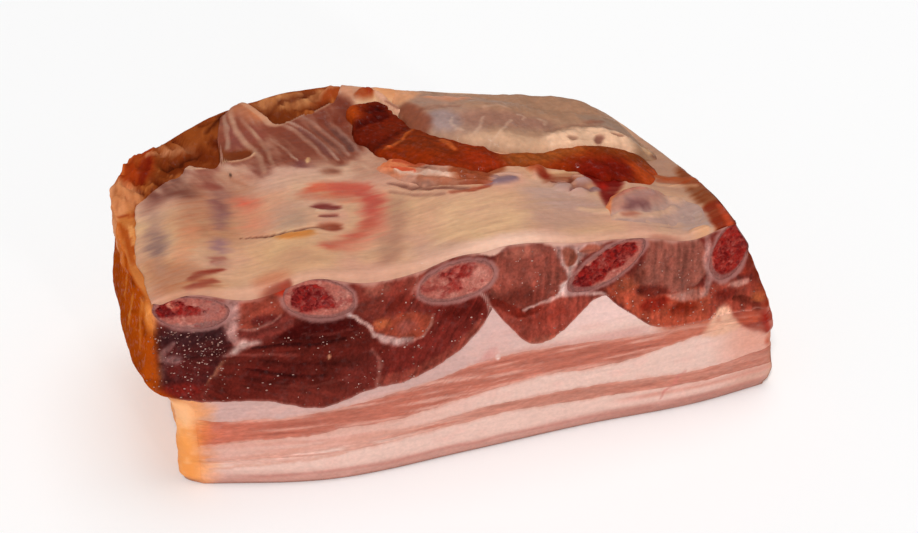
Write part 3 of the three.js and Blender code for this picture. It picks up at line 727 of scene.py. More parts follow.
def frontBase(name, p):
    x, z = p[:, 0], p[:, 2]
    flat = p * np.array([1, 0, 1])
    colours = plain(fatTone, len(p))
    streak = layered(flat, (22, 1, 1.1), 31)
    if name == "rind_fat":
        tint(colours, (194, 140, 127), fade(z + 0.6 * streak, 2.4, 6.4) * 0.95)
        tint(colours, (202, 150, 132), ramp(x - 0.5 * z, 62, 76) * 0.8)
        tint(colours, (204, 138, 122), bell(z - 7.4 - 0.5 * streak, 0.9) * ramp(x, 30, 46) * 0.8)
        seam = bell(z - 3.6 - 0.5 * noise(flat, 9, 33), 0.55)
        tint(colours, (178, 112, 100), seam * ramp(x, -84, -70) * 0.55)
        tint(colours, (176, 120, 107), fade(z + 0.6 * streak, 2.6, 5) * ramp(x, 20, 46) * 0.8)
        tint(colours, (170, 118, 104), fade(z, 0.5, 1.7))
    if name == "thin_lean":
        lean = ramp(x, -50, 0) * 0.9 + ramp(streak, 0, 0.35) * 0.5
        tint(colours, (186, 118, 100), lean)
        tint(colours, (176, 104, 88), ramp(streak, 0.15, 0.5) * ramp(x, 20, 60) * 0.7)
    if name == "middle_fat":
        tint(colours, (206, 148, 132), (0.6 + 0.4 * ramp(streak, -0.1, 0.5)) * fade(x, -50, 5) * 0.95)
        tint(colours, (214, 150, 130), ramp(x, 62, 78) * 0.9)
    if name == "streaky_lean":
        tint(colours, (180, 104, 86), np.full(len(p), 1.0))
        tint(colours, (214, 158, 142), ramp(streak, 0.05, 0.5) * 0.75)
        tint(colours, (160, 82, 66), ramp(-streak, 0.15, 0.6) * 0.6)
        tint(colours, (206, 108, 84), fade(x, -84, -66) * 0.6)
        tint(colours, (190, 106, 82), ramp(x, 40, 62) * 0.6)
        tint(colours, (220, 168, 144), ramp(x - 0.6 * (z - 22), 60, 68) * 0.9)
    if name == "upper_fat":
        tint(colours, (198, 158, 150), fade(x, -20, 30))
        tint(colours, (228, 190, 181), ramp(z, 31, 38) * ramp(x, 0, 20))
        tint(colours, (212, 172, 164), ramp(z, 31, 38) * fade(x, 0, 20))
        tint(colours, (204, 152, 142), fade(z, 30.6, 33) * ramp(x, -6, 8) * fade(x, 40, 50) * 0.8)
        tint(colours, (182, 96, 72), ramp(x, 44, 54))
    if name != "rib_lean":
        yellow = fade(x + 3 * layered(flat, (7, 1, 3), 35), -92, -82) * 0.85
        tint(colours, (220, 118, 54), yellow)
        tint(colours, (234, 160, 104), yellow * ramp(z + 2 * noise(flat, 3, 36), 20, 25))
        tint(colours, (252, 188, 140), yellow * fade(z, 5, 10) * 0.9)
    else:
        colours[:] = (104, 38, 31)
    return colours


def muscleGrain(p):  # fibres: fanned at the left, slanted in the dark lobe, upright at the right
    x, z = p[:, 0], p[:, 2]
    fanAngle = np.arctan2(z - 45, x + 96) * 40
    fanReach = np.hypot(x + 96, z - 45)
    fanned = layered(level(fanReach / 9, fanAngle / 1.1), 1, 41)
    fanned = 0.6 * fanned + 0.8 * layered(level(fanReach / 24, fanAngle / 3.0), 1, 44)
    run, side = turned(x, z, 62)
    slanted = layered(level(run / 5, side / 0.9), 1, 42)
    upright = layered(level(x / 0.9, z / 5), 1, 43)
    toLobe = ramp(x, -40, -34)
    toRight = ramp(x, -5, -2)
    return mix(mix(fanned, slanted, toLobe), upright, toRight)


def paintFront(name, p):
    x, z = p[:, 0], p[:, 2]
    flat = p * np.array([1, 0, 1])
    place = np.stack([x, z], -1) + ragged(flat, 0.5, 50, 2.2)
    colours = frontBase(name, p)
    lift = 0.1 * layered(flat, 3, 52)
    wet = 0.5 + 0.35 * layered(flat, 5, 54)
    if name == "rib_lean":
        grit = 0.9 * layered(flat, 2.4, 51)
        paint(colours, lift, place, leanMarks + endMarks, grit)
        grain = muscleGrain(p)
        colours *= (1 + 0.24 * grain + 0.1 * layered(flat, 1.0, 56) + 0.14 * layered(flat, 3.4, 57))[:, None]
        lift += 0.3 * grain
        tint(colours, (196, 142, 130), fade(z - leanFloor(x, p[:, 1]), 0.1, 0.7) * 0.5)
        halo = ribGap(place[:, 0], place[:, 1])
        tint(colours, ribHalo, fade(halo, 0.3, 1.6) * 0.75)
        under = topHeight(x, p[:, 1]) - z + 0.9 * layered(flat, 3, 62)  # the membrane's pale cut edge
        band = pleuraThickness(x, p[:, 1]) + 0.3
        tint(colours, rimTone, fade(under, band, band + 1.4) * 0.85 * (1 - 0.9 * bell(x + 66, 5)))
        hang = 2.6 * bell(x + 3, 3.2) + 1.6 * bell(x - 15, 6)  # lower by the third rib and the lobe beside it
        shown = fade(under, band + hang - 0.6, band + hang + 0.5)
        tint(colours, (210, 162, 144), shown * ramp(hang, 0.2, 0.8))
        paint(colours, lift, place, [oval((176, 46, 25), -62.3, 64, 2.3, 1.9)], grit)
        lift *= ramp(under, 1.5, 4)
        gap = ribGap(x, z)
        lift -= 1.6 * fade(gap, -1.0, -0.3)  # behind the rib's cut
        left = fade(x, -82, -76) * fade(z, 53, 56) * ramp(z, 33, 40)
        cluster = ramp(layered(flat, 5, 60), 0, 0.5)
        fleck = 0.03 + 0.2 * cluster + left * (0.2 + 0.55 * cluster)
        fleck *= ramp(gap, 0.5, 1.5) * ramp(under, 3.5, 5)
        fine = ramp(under, 2.8, 4.4) * (0.4 + 0.6 * ramp(halo, 0.3, 1.6))
        tint(colours, endTones["left"]["lean"], fade(x + 1.2 * layered(flat, 4, 63), -100.5, -97) * 0.8)
        # bright orange spot on the front-left edge by the first rib: painted highlight on the orange edge
        paint(colours, lift, place, [oval((228, 140, 80), -100, 60, 2.6, 4.6, 0.85, 0.7)], grit)
    else:
        paint(colours, lift, place, fatMarks + endMarks, 0.9 * layered(flat, 2.4, 51))
        fibre = layered(flat, (9, 1, 0.7), 58)
        lean = 1.0 if name in ("thin_lean", "streaky_lean") else 0.35
        tint(colours, (226, 172, 160), ramp(layered(flat, (7, 1, 3.5), 64), 0.1, 0.6) * (0.45 - 0.4 * lean))
        edges = (thinFloor, thinRoof, streakFloor, streakRoof)
        border = np.min([np.abs(z - edge(x, p[:, 1])) for edge in edges], axis=0)
        soft = fade(border + 0.5 * layered(flat, (4, 1, 1.5), 65), 0, 1.0)
        tint(colours, (204, 146, 130), soft * ramp(x, -86, -78) * fade(x, 60, 68) * 0.55)
        colours *= (1 + 0.1 * lean * fibre + 0.025 * layered(flat, 1.2, 59))[:, None]
        lift += 0.1 * lean * fibre
        fine = np.ones(len(p))
        fleck = 0 * fine
    return colours, lift, wet, fine, fleck


# The other sides: dried lean and yellowed fat

endBulges = {"left": (2.2, 40, 10), "right": (1.8, 28, 11)}  # how far, at what height, over what reach
endTones = {
    "left": {"lean": (174, 72, 10), "dark": (108, 34, 0), "pale": (208, 118, 44), "fat": (236, 150, 78),
             "fatPale": (246, 184, 134)},
    "right": {"lean": (140, 52, 26), "dark": (98, 24, 14), "pale": (196, 116, 72), "fat": (222, 164, 128),
              "fatPale": (232, 190, 164)},
    "back": {"lean": (134, 60, 24), "dark": (94, 34, 12), "pale": (186, 112, 62), "fat": (226, 172, 122),
             "fatPale": (236, 200, 160)},
}
leftMarks = [  # places on the left end: y and z
    patch((224, 152, 108), [42, 56, 45, 65, 56, 67, 65, 66, 67, 59, 58, 55, 50, 53], 0.85, 1.6, 0.9),
    patch((216, 122, 62), [27, 60, 31, 66, 42, 66, 43, 60, 35, 56], 0.8, 1.6, 0.6),
    patch((116, 44, 12), [2, 46, 20, 48, 44, 50, 64, 52, 66, 44, 40, 40, 10, 39], 0.3, 4, -0.4),
    stroke((216, 138, 66), [14, 60, 17, 54, 19, 47], 0.8, 0.6, 1.2, 0.3),
    stroke((212, 130, 60), [22, 63, 26, 56, 30, 50], 0.8, 0.5, 1.2, 0.3),
    stroke((206, 122, 54), [6, 62, 8, 54, 8, 46], 0.8, 0.5, 1.2, 0.3),
    # bright orange spot at the front end of the left side: painted highlight on the front-left edge
    oval((236, 146, 74), 1, 60, 4.4, 5, 0.8, 0.7),
]


def paintEnd(name, side, p):
    tones = endTones[side]
    z = p[:, 2]
    lean = name == "rib_lean" or (side != "left" and name in ("thin_lean", "streaky_lean"))
    colours = plain(tones["lean" if lean else "fat"], len(p))
    blotch = layered(p, (9, 9, 6), 71)
    sloped = p.copy()
    sloped[:, 2] += 0.8 * p[:, 1] - 0.5 * p[:, 0]
    thread = layered(sloped, (9, 9, 2.0), 73)
    lift = 0.9 * layered(p, 13, 75) + 0.12 * layered(p, 3, 76)
    if side == "right" or (side == "left" and lean):
        far, height, reach = endBulges[side]
        lift += far * bell(z - height, reach)
    if lean:
        tint(colours, tones["dark"], ramp(blotch + 0.6 * thread, 0.1, 0.7) * 0.7)
        tint(colours, tones["pale"], ramp(-blotch + 0.6 * thread, 0.2, 0.8) * 0.6)
        if name != "rib_lean":
            tint(colours, tones["fat"], np.full(len(p), 0.45))
        elif side == "left":
            paint(colours, lift, p[:, 1:] + ragged(p, 1.0, 74, 4), leftMarks, 0.8 * thread)
        lift += 0.2 * thread
    else:
        tint(colours, tones["fatPale"], ramp(z + 5 * blotch, 14, 24) * 0.85)
        tint(colours, tones["fatPale"], ramp(layered(p, 4, 72), 0.05, 0.5) * 0.5)
        tint(colours, tones["pale"], ramp(-blotch + 0.5 * thread, 0.25, 0.8) * 0.5)
        if name == "rind_fat":
            tint(colours, (176, 112, 78), fade(z, 0.5, 2.4))
        if name == "upper_fat":
            tint(colours, tones["lean"], ramp(z + 2 * blotch, 28, 33) * 0.6)
        lift += 0.9 * layered(p, (6, 6, 4.5), 79)
    if name == "rib_lean" and side != "left":  # clear of the ribs' far ends
        start = along(p[:, 0], p[:, 1])
        gap = ribGap(start, z - ribFall(start, p[:, 1]) + slab["ribSink"] * p[:, 1])
        lift *= ramp(gap, 0, 2.5)
        lift -= 1.2 * fade(gap, -1, -0.3)
        tint(colours, (190, 128, 96), fade(gap, 0.2, 1.4) * 0.6)
    wet = 0.5 + 0.4 * layered(p, 6, 77)
    return colours, lift, wet, np.full(len(p), 0.3), np.zeros(len(p))


# The top of the lean, dried where the membrane is torn away

trimmedMarks = [
    patch((216, 140, 92), [-101, 46, -99, 62, -97, 67, -93, 64, -92, 55, -96, 50], 0.85, 1.6, 2),
    patch((158, 54, 16), [-97, 67, -95, 78, -88, 86, -84, 84, -86, 70, -91, 62], 0.85, 2, 1.6),
    stroke((110, 24, 10), [-90, 64, -88, 72, -86, 78], 2.2, 0.7, 1.2, -0.6),
    stroke((206, 110, 50), [-96, 70, -93, 78, -88, 84], 1.6, 0.6, 1, 0.5),
    patch((116, 46, 16), [-84, 66, -82, 78, -74, 80, -65, 78, -64, 70, -72, 65], 0.8, 1.6, -0.5),
    stroke((170, 98, 60), [-85, 84, -80, 83, -74, 81.4, -70, 83], 1.8, 0.6, 1, 0.6),
    stroke((150, 92, 60), [-79, 79, -76, 80.6, -72, 78.6], 1.4, 0.6, 0.9, 0.5),
    patch((138, 66, 26), [-80, 84, -70, 90, -62, 94, -62, 84, -70, 80], 0.7, 1.6),
    patch((112, 48, 18), [-52, 88, -46, 82, -38, 86, -36, 90, -44, 92], 0.9, 1.4, -1),
    patch((196, 130, 82), [-50, 91, -40, 89, -32, 89, -28, 97, -40, 97, -50, 98], 0.75, 1.6, 0.6),
    patch((156, 66, 28), [-33, 89, -28, 95, -22, 99, -20, 93, -26, 90], 0.85, 1.4, 0.9),
    stroke((204, 134, 92), [-31, 92, -26, 95, -22, 96], 1, 0.6, 0.8, 0.4),
    # dark sunk line: painted shade in the gap between dried cords
    stroke((68, 22, 8), [-83, 72, -77, 75, -71, 76], 1.2, 0.8, 1, -0.9),
    # a sunk line painted darker and a raised line painted paler along the left strip: painted shade and
    # painted highlight for its relief
    stroke((162, 68, 20), [-100, 44, -99.2, 34, -99.6, 22], 1.4, 0.75, 1, -0.6),
    stroke((230, 158, 96), [-97.4, 42, -97.2, 32, -98, 20], 0.8, 0.6, 0.9, 0.5),
    stroke((148, 50, 18), [-99, 48, -95, 47, -92, 46], 1.2, 0.7, 1, -0.6),
    stroke((198, 130, 90), [-87, 79, -81, 81, -75, 79.4], 0.8, 0.7, 0.9, 0.7),
    # the two dark sunk lines below: painted shade in the gaps between dried cords
    stroke((72, 24, 8), [-67, 85, -62, 90, -58, 94], 1, 0.7, 1, -0.8),
    stroke((84, 28, 10), [-48, 89, -40, 93, -31, 96], 0.9, 0.7, 1, -0.8),
]


def paintTrimmed(p):
    flat = p * np.array([1, 1, 0])
    colours = plain((130, 60, 24), len(p))
    blotch = layered(flat, 6, 81)
    thread = layered(flat, (2, 7, 1), 82)
    tint(colours, (96, 34, 12), ramp(blotch, 0.1, 0.6) * 0.7)
    tint(colours, (174, 96, 44), ramp(-blotch + 0.5 * thread, 0.2, 0.8) * 0.7)
    bent = flat + 3 * np.stack([noise(flat, 9, 87), noise(flat, 9, 88), 0 * blotch], -1)
    crest = ridged(bent @ np.array([[0.9, -0.45, 0], [0.45, 0.9, 0], [0, 0, 1]]), (4.2, 11, 1), 89) - 0.72
    lift = 0.6 * layered(flat, 5, 83) + 0.3 * thread + 2.2 * crest
    # darker in the hollows between the dried cords: painted shade; paler on their crests: painted highlight
    tint(colours, (80, 22, 6), ramp(-crest, 0.05, 0.35) * 0.8)
    tint(colours, (188, 110, 58), ramp(crest, 0.12, 0.28) * 0.6)
    fromLeft = p[:, 0] - np.interp(p[:, 1], leftSide[:, 1], leftSide[:, 0])
    edgeFat = fade(fromLeft, 3, 8) * fade(p[:, 1], 46, 56)
    tint(colours, (206, 122, 60), edgeFat * 0.85)
    lift *= 1 - 0.6 * edgeFat
    paint(colours, lift, p[:, :2] + ragged(flat, 0.8, 84), trimmedMarks, 1.2 * thread)
    wet = 0.45 + 0.45 * layered(flat, 4, 86)
    return colours, lift, wet


layers = {name: dict(zip(("floor", "roof", "rows", "finish", "slot"), row)) for name, row in {
    "rind_fat": (ground, thinFloor, 22, "fat", "fat"),
    "thin_lean": (thinFloor, thinRoof, 8, "streakyLean", "streaky_lean"),
    "middle_fat": (thinRoof, streakFloor, 18, "fat", "fat"),
    "streaky_lean": (streakFloor, streakRoof, 22, "streakyLean", "streaky_lean"),
    "upper_fat": (streakRoof, leanFloor, 26, "fat", "fat"),
    "rib_lean": (leanFloor, leanRoof, 72, "ribLean", "rib_lean"),
}.items()}


def sideShares(ring):  # how much of each side a column shows, blended over the corners
    cut, deep = slab["cutSteps"], slab["depthSteps"]
    starts = [0, cut, cut + deep, 2 * cut + deep, 2 * cut + 2 * deep]
    step = np.linalg.norm(np.diff(np.r_[ring, ring[:1]], axis=0)[:, :2], axis=1)
    reach = np.r_[0, np.cumsum(step)]
    shares = {}
    blend = 3.0  # on each side of a corner
    cornerGap = np.full(len(ring), 1e9)
    for k, side in enumerate(("front", "right", "back", "left")):
        low, high = reach[starts[k]], reach[starts[k + 1]]
        here = reach[:-1]
        whole = reach[-1]
        gap = np.minimum(here - low, high - here)
        for turn in (-whole, whole):
            gap = np.maximum(gap, np.minimum(here + turn - low, high - here - turn))
        shares[side] = ramp(gap, -blend, blend)
        cornerGap = np.minimum(cornerGap, np.abs(gap))
    total = sum(shares.values())
    return {side: share / total for side, share in shares.items()}, cornerGap


def buildLayer(name):
    values = layers[name]
    cut, deep, rows = slab["cutSteps"], slab["depthSteps"], values["rows"]

    def place(u, v, w):
        u, v, w = np.broadcast_arrays(u, v, w)
        flatU, flatV = (u[0], v[0]) if u.ndim == 2 else (u, v)
        low = boundary(flatU, flatV, values["floor"])
        high = boundary(flatU, flatV, values["roof"])
        z = mix(low, high, w)
        x, y = planPoint(u, v, z)
        return np.stack([x, y, z], -1)

    roofRatio = 2 if name == "rib_lean" else 5
    floorRatio = 2 if name == "rind_fat" else 5
    points, share, quads, others, count = closedSheet(place, cut, deep, rows, roofRatio, floorRatio)
    wallCount = count * (rows + 1)
    wall = points[:wallCount]
    shares, cornerGap = sideShares(wall.reshape(rows + 1, count, 3)[rows // 2])
    colours = np.zeros((len(points), 3))
    lift = np.zeros(wallCount)
    wet = np.full(len(points), 0.5)
    fine = np.full(len(points), 0.3)
    fleck = np.zeros(len(points))
    wet[:wallCount] = 0
    fine[:wallCount] = 0
    for side, part in shares.items():
        part = np.tile(part, rows + 1)
        used = part > 0
        looks = paintFront(name, wall[used]) if side == "front" else paintEnd(name, side, wall[used])
        colours[:wallCount][used] += looks[0] * part[used, None]
        lift[used] += looks[1] * part[used]
        for total, look in zip((wet, fine, fleck), looks[2:]):
            total[:wallCount][used] += look * part[used]
    size = slab["cornerRound"]
    rounding = 0.45 * size * np.clip(1 - cornerGap / (1.6 * size), 0, 1) ** 2
    lift -= np.tile(rounding, rows + 1)
    lift *= ramp(wall[:, 2], 0, 1.5)  # the rind's edge stays on the floor
    points[:wallCount] += outwards(points, count, rows) * lift[:, None]
    caps = np.arange(len(points)) >= wallCount
    roof = caps & (share == 1)
    if name == "rib_lean":
        dried = paintTrimmed(points[roof])
        bare = ramp(points[roof][:, 1] - tornLine(points[roof][:, 0]), -3, 1)
        colours[roof], wet[roof] = dried[0], dried[2]
        points[roof, 2] += (dried[1] - 0.2) * bare
    else:
        colours[roof] = fatTone
    under = caps & (share == 0)
    colours[under] = slab["rindTone"] if name == "rind_fat" else fatTone
    if name == "rind_fat":
        low = points[under]
        colours[under] *= (1 + 0.1 * layered(low, 5, 91) + 0.06 * layered(low, 1.5, 92))[:, None]
    looks = {"wet": wet, "fine": fine, "fleck": fleck}
    return makePiece(name, points, quads, others, colours, looks, values["finish"], values["slot"])


layerPieces = {layerName: buildLayer(layerName) for layerName in layers}

# Flecks: pale crumbs of fat on the front of the rib meat, scattered by a node tree; their pale tones are also
# painted glints

flecks = {"Density": 1.4e6, "Radius": 0.0002, "Smallest": (0.4, 0.4, 0.3),
          "Largest": (2.1, 1.5, 0.8), "Seed": 7}
# from pale to dark: the pale flecks are fat crumbs with painted highlights standing in for glints
fleckTones = ((208, 168, 156), (112, 64, 54))


def fleckTree(material):
    tree = bpy.data.node_groups.new("fleckTree", "GeometryNodeTree")
    kinds = {"Geometry": "Geometry", "Density": "Float", "Radius": "Float", "Smallest": "Vector",
             "Largest": "Vector", "Seed": "Int"}
    for label, kind in kinds.items():
        tree.interface.new_socket(label, in_out="INPUT", socket_type="NodeSocket" + kind)
    tree.interface.new_socket("Geometry", in_out="OUTPUT", socket_type="NodeSocketGeometry")
    given = addNode(tree, "NodeGroupInput")
    share = addNode(tree, "GeometryNodeInputNamedAttribute", {"Name": "fleck"}, data_type="FLOAT")
    dense = addNode(tree, "ShaderNodeMath", operation="MULTIPLY")
    scatter = addNode(tree, "GeometryNodeDistributePointsOnFaces")
    crumbAndGlint = addNode(tree, "GeometryNodeMeshIcoSphere", {"Subdivisions": 1})
    size = addNode(tree, "FunctionNodeRandomValue", data_type="FLOAT_VECTOR")
    lay = addNode(tree, "GeometryNodeInstanceOnPoints")
    realized = addNode(tree, "GeometryNodeRealizeInstances")
    finished = addNode(tree, "GeometryNodeSetMaterial", {"Material": material})
    wire(tree, (share, "Attribute", dense, 0), (given, "Density", dense, 1),
         (given, "Geometry", scatter, "Mesh"), (dense, "Value", scatter, "Density"),
         (given, "Seed", scatter, "Seed"), (given, "Radius", crumbAndGlint, "Radius"),
         (given, "Smallest", size, "Min"), (given, "Largest", size, "Max"), (given, "Seed", size, "Seed"),
         (scatter, "Points", lay, "Points"), (crumbAndGlint, "Mesh", lay, "Instance"),
         (scatter, "Rotation", lay, "Rotation"), (size, "Value", lay, "Scale"),
         (lay, "Instances", realized, "Geometry"),
         (realized, "Geometry", finished, "Geometry"),
         (finished, "Geometry", addNode(tree, "NodeGroupOutput"), "Geometry"))
    return tree


def buildFlecks(bed):
    holder = addObject("fleckHolder", bed.data.copy())
    modifier = holder.modifiers.new("flecks", "NODES")
    modifier.node_group = fleckTree(materials["fat"])
    for socket in modifier.node_group.interface.items_tree:
        if socket.in_out == "INPUT" and socket.name in flecks:
            modifier[socket.identifier] = flecks[socket.name]
    seen = holder.evaluated_get(bpy.context.evaluated_depsgraph_get())
    mesh = bpy.data.meshes.new_from_object(seen)
    bpy.data.objects.remove(holder)
    mesh.name = "flecks"
    for label in ("tint", "wet", "fine", "fleck"):  # the bed's own values
        if label in mesh.attributes:
            mesh.attributes.remove(mesh.attributes[label])
    mesh.shade_smooth()
    count = len(mesh.vertices)
    each = 12  # corners of one fleck
    tone = hashed(np.stack([np.arange(count) // each] * 3, -1).astype(np.int64), 5)[:, None] * 0.5 + 0.5
    colours = mix(np.array(fleckTones[0], float), np.array(fleckTones[1], float), tone)
    dress(mesh, colours, {"wet": 0.8, "fine": 0.8})
    piece = addObject("flecks", mesh)
    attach(piece, "root")
    print("belly: flecks", count // each)


buildFlecks(layerPieces["rib_lean"])

# Ribs: a cut face of cortical ring and marrow at the front, the shaft through the lean, and the far cut

ribCuts = {
    "sides": 168, "rings": 40, "shaftSteps": 20, "farRings": 12, "proud": 0.3,
    "bone": (166, 92, 80), "ring": (136, 87, 81), "farBone": (196, 140, 100), "farMarrow": (112, 48, 30),
}
marrowPatches = [  # one list for each rib
    [patch((112, 16, 15), [-98.5, 62, -96, 64.2, -91, 64.9, -88.6, 62.8, -84.5, 61, -84.5, 59.6, -89, 59.9,
         -92, 60.2, -97, 60], 1, 0.5, -0.4),
     oval((206, 124, 100), -92.4, 62.8, 1.4, 1.5, 0.95),
     oval((96, 10, 12), -94.6, 61.6, 1.6, 1.2, 0.7),
     oval((156, 96, 88), -83, 60, 3, 3.4, 0.7),
     stroke((136, 92, 86), [-97, 57.4, -90, 55.8, -82, 56], 1.8)],
    [patch((112, 24, 23), [-60.5, 59, -60, 63, -56, 64.3, -52, 63, -49.5, 60, -48.6, 57.5, -50, 55.8, -55,
         55.8, -59, 57], 1, 0.6, -0.4),
     oval((140, 44, 42), -52, 58, 3, 1.8, 0.7),
     oval((92, 12, 13), -56.6, 61.6, 2.2, 1.5, 0.7),
     oval((174, 110, 98), -46.6, 58, 2.2, 3.4, 0.7)],
    [patch((128, 32, 27), [-19, 60, -14, 63.4, -9.6, 63, -9.6, 60, -15, 58.6], 0.85, 0.9, -0.3),
     patch((142, 50, 43), [-17.4, 57, -14, 59, -12, 56.5, -15, 54.8], 0.75, 0.8, -0.2),
     oval((140, 58, 50), -21, 58, 2.4, 2, 0.7),
     oval((192, 120, 106), -6.6, 58, 2.8, 3.6, 0.8)],
    [patch((118, 20, 17), [20.6, 48.6, 21, 52, 26, 57, 33, 60.4, 39.5, 60.6, 39.8, 57.4, 33, 53, 27, 49.2,
         23, 47.6], 1, 0.7, -0.4),
     oval((104, 14, 15), 24, 50.6, 2.4, 2, 0.8),
     oval((186, 112, 98), 29, 48.4, 3.4, 1.2, 0.8, 0.6, 0, 25),
     oval((184, 110, 96), 27, 58, 3.6, 0.9, 0.7, 0.6, 0, 30),
     oval((118, 80, 78), 42, 58.4, 0.8, 3, 0.6)],
    [patch((134, 26, 20), [64.4, 56, 66, 59.4, 71, 62, 75, 55, 78, 47, 77, 42, 69, 42, 64.4, 46.5], 1, 0.6,
         -0.3),
     oval((96, 14, 12), 68, 52, 2.2, 3, 0.6),
     stroke((190, 84, 70), [63.8, 46, 63.6, 52, 64.4, 57], 0.7, 0.8)],
]
ribLevel = 55.0
farWall = np.stack(planPoint(np.linspace(0, 1, 400), 1, ribLevel), -1)
sideWall = np.stack(planPoint(1, np.linspace(0, 1, 200), ribLevel), -1)


def farEnd(rib, x, z):  # depth at which a line along the rib leaves the slab
    y = np.linspace(0, 115, 461)
    fall = ribFall(rib["x"], y) - slab["ribSink"] * y
    px = x[:, None] + slab["ribSlant"] * y
    pz = z[:, None] + fall
    back = np.interp(px, farWall[:, 0], farWall[:, 1])
    right = np.interp(y, sideWall[:, 1], sideWall[:, 0]) + rightShift(pz) - rightShift(ribLevel)
    outside = (y > back) | (px > right)
    outside[:, -1] = True
    first = np.argmax(outside, axis=1)
    return np.maximum(y[first], 1.0), fall[first]


def buildRib(number):
    rib = ribs[number]
    sides, steps, slant = ribCuts["sides"], ribCuts["shaftSteps"], slab["ribSlant"]
    turn = -2 * np.pi * np.arange(sides) / sides
    edge = 1 + 0.03 * np.sin(2 * turn + number) + 0.025 * np.sin(3 * turn + 2.1 * number)
    t = math.radians(rib["tilt"])

    def section(e):
        p, q = rib["wide"] * e * edge * np.cos(turn), rib["high"] * e * edge * np.sin(turn)
        x = rib["x"] + p * math.cos(t) - q * math.sin(t)
        z = rib["z"] + p * math.sin(t) + q * math.cos(t)
        return np.minimum(x, slab["frontRight"][0] + rightShift(z) - 0.15), z

    points, kinds, sizes = [], [], []

    def addRing(x, y, z, kind, size):  # kind: 0 for the front cut, 1 for the shaft, 2 for the far cut
        points.append(np.stack([x, y, z], -1))
        kinds.append(np.full(sides, kind))
        sizes.append(np.full(sides, size))

    for e in np.linspace(0.02, 1, ribCuts["rings"]):
        x, z = section(e)
        addRing(x, frontWall(x, z) - ribCuts["proud"], z, 0, e)
    startY = points[-1][:, 1]
    endY, fall = farEnd(rib, x, z)
    for step in range(1, steps):
        y = mix(startY, endY, step / steps)
        drop = ribFall(rib["x"], y) - slab["ribSink"] * np.maximum(0, y)
        addRing(x + slant * (y - startY), y, z + drop * ramp(y, -4, 2), 1, 1.0)
    for e in np.linspace(1, 0.02, ribCuts["farRings"]):
        x, z = section(e)
        endY, fall = farEnd(rib, x, z)
        addRing(x + slant * endY, endY + 0.4, z + fall, 2, e)
    rows = len(points) - 1
    points, kinds, sizes = np.concatenate(points), np.concatenate(kinds), np.concatenate(sizes)
    # paint
    front = kinds == 0
    colours = plain(ribCuts["bone"], len(points))
    lift = np.zeros(len(points))
    flat = points * np.array([1, 0, 1])
    place = points[:, [0, 2]] + ragged(flat, 1.1, 101, 2.0)
    bent = flat + 0.7 * layered(flat, 1.5, 102)[:, None] * np.array([1, 0, -1])
    nearest, second, cellTone = cells(bent, 1.1, 103 + number)
    spongy = fade(second - nearest, 0.02, 0.25)
    spongy *= ramp(layered(flat, 1.4, 104), -0.5, 0.3)
    paint(colours, lift, place, marrowPatches[number], 2.2 * layered(flat, 1.3, 106))
    inMarrow = np.clip(-lift / 0.4, 0, 1)
    tint(colours, (186, 96, 82), spongy * (0.1 + 0.2 * inMarrow) * (sizes < 0.88))
    tint(colours, (84, 8, 10), (cellTone > 0.3) * inMarrow * 0.6 * (1 - spongy))
    tint(colours, (160, 34, 28), (cellTone < -0.4) * inMarrow * 0.6 * (1 - spongy))
    tint(colours, (136, 48, 44), ramp(layered(flat, 1.3, 105 + number), 0.12, 0.55) * (1 - inMarrow) * 0.6)
    pale = ramp(-layered(flat, 1.5, 115 + number), 0.15, 0.6)
    tint(colours, (206, 142, 126), pale * (0.45 - 0.33 * inMarrow))
    lift += 0.25 * inMarrow * (spongy - 0.5)
    below = np.clip((rib["z"] - points[:, 2]) / rib["high"], 0, 1)
    rim = ramp(sizes + 0.12 * below + 0.03 * layered(flat, 2, 107), 0.87, 0.97)
    tint(colours, ribCuts["ring"], rim * 0.85)
    lift -= 0.3 * ramp(sizes, 0.93, 1.0)
    far = (kinds == 2) * 1.0
    tint(colours, ribCuts["farBone"], far)
    tint(colours, ribCuts["farMarrow"], far * fade(sizes, 0.55, 0.75))
    colours *= (1 + 0.1 * layered(flat, 1.2, 109))[:, None]
    points[front, 1] -= lift[front]
    wet = 0.55 + 0.3 * layered(flat, 2, 111)
    makePiece("rib_%d" % (number + 1), points, ringQuads(sides, rows), ringLids(sides, rows), colours,
              {"wet": wet, "fine": 1}, "bone", "bone", sharp=60)


for ribNumber in range(len(ribs)):
    buildRib(ribNumber)

# Pleura: the membrane over the ribs, painted by place: x and y in millimetres

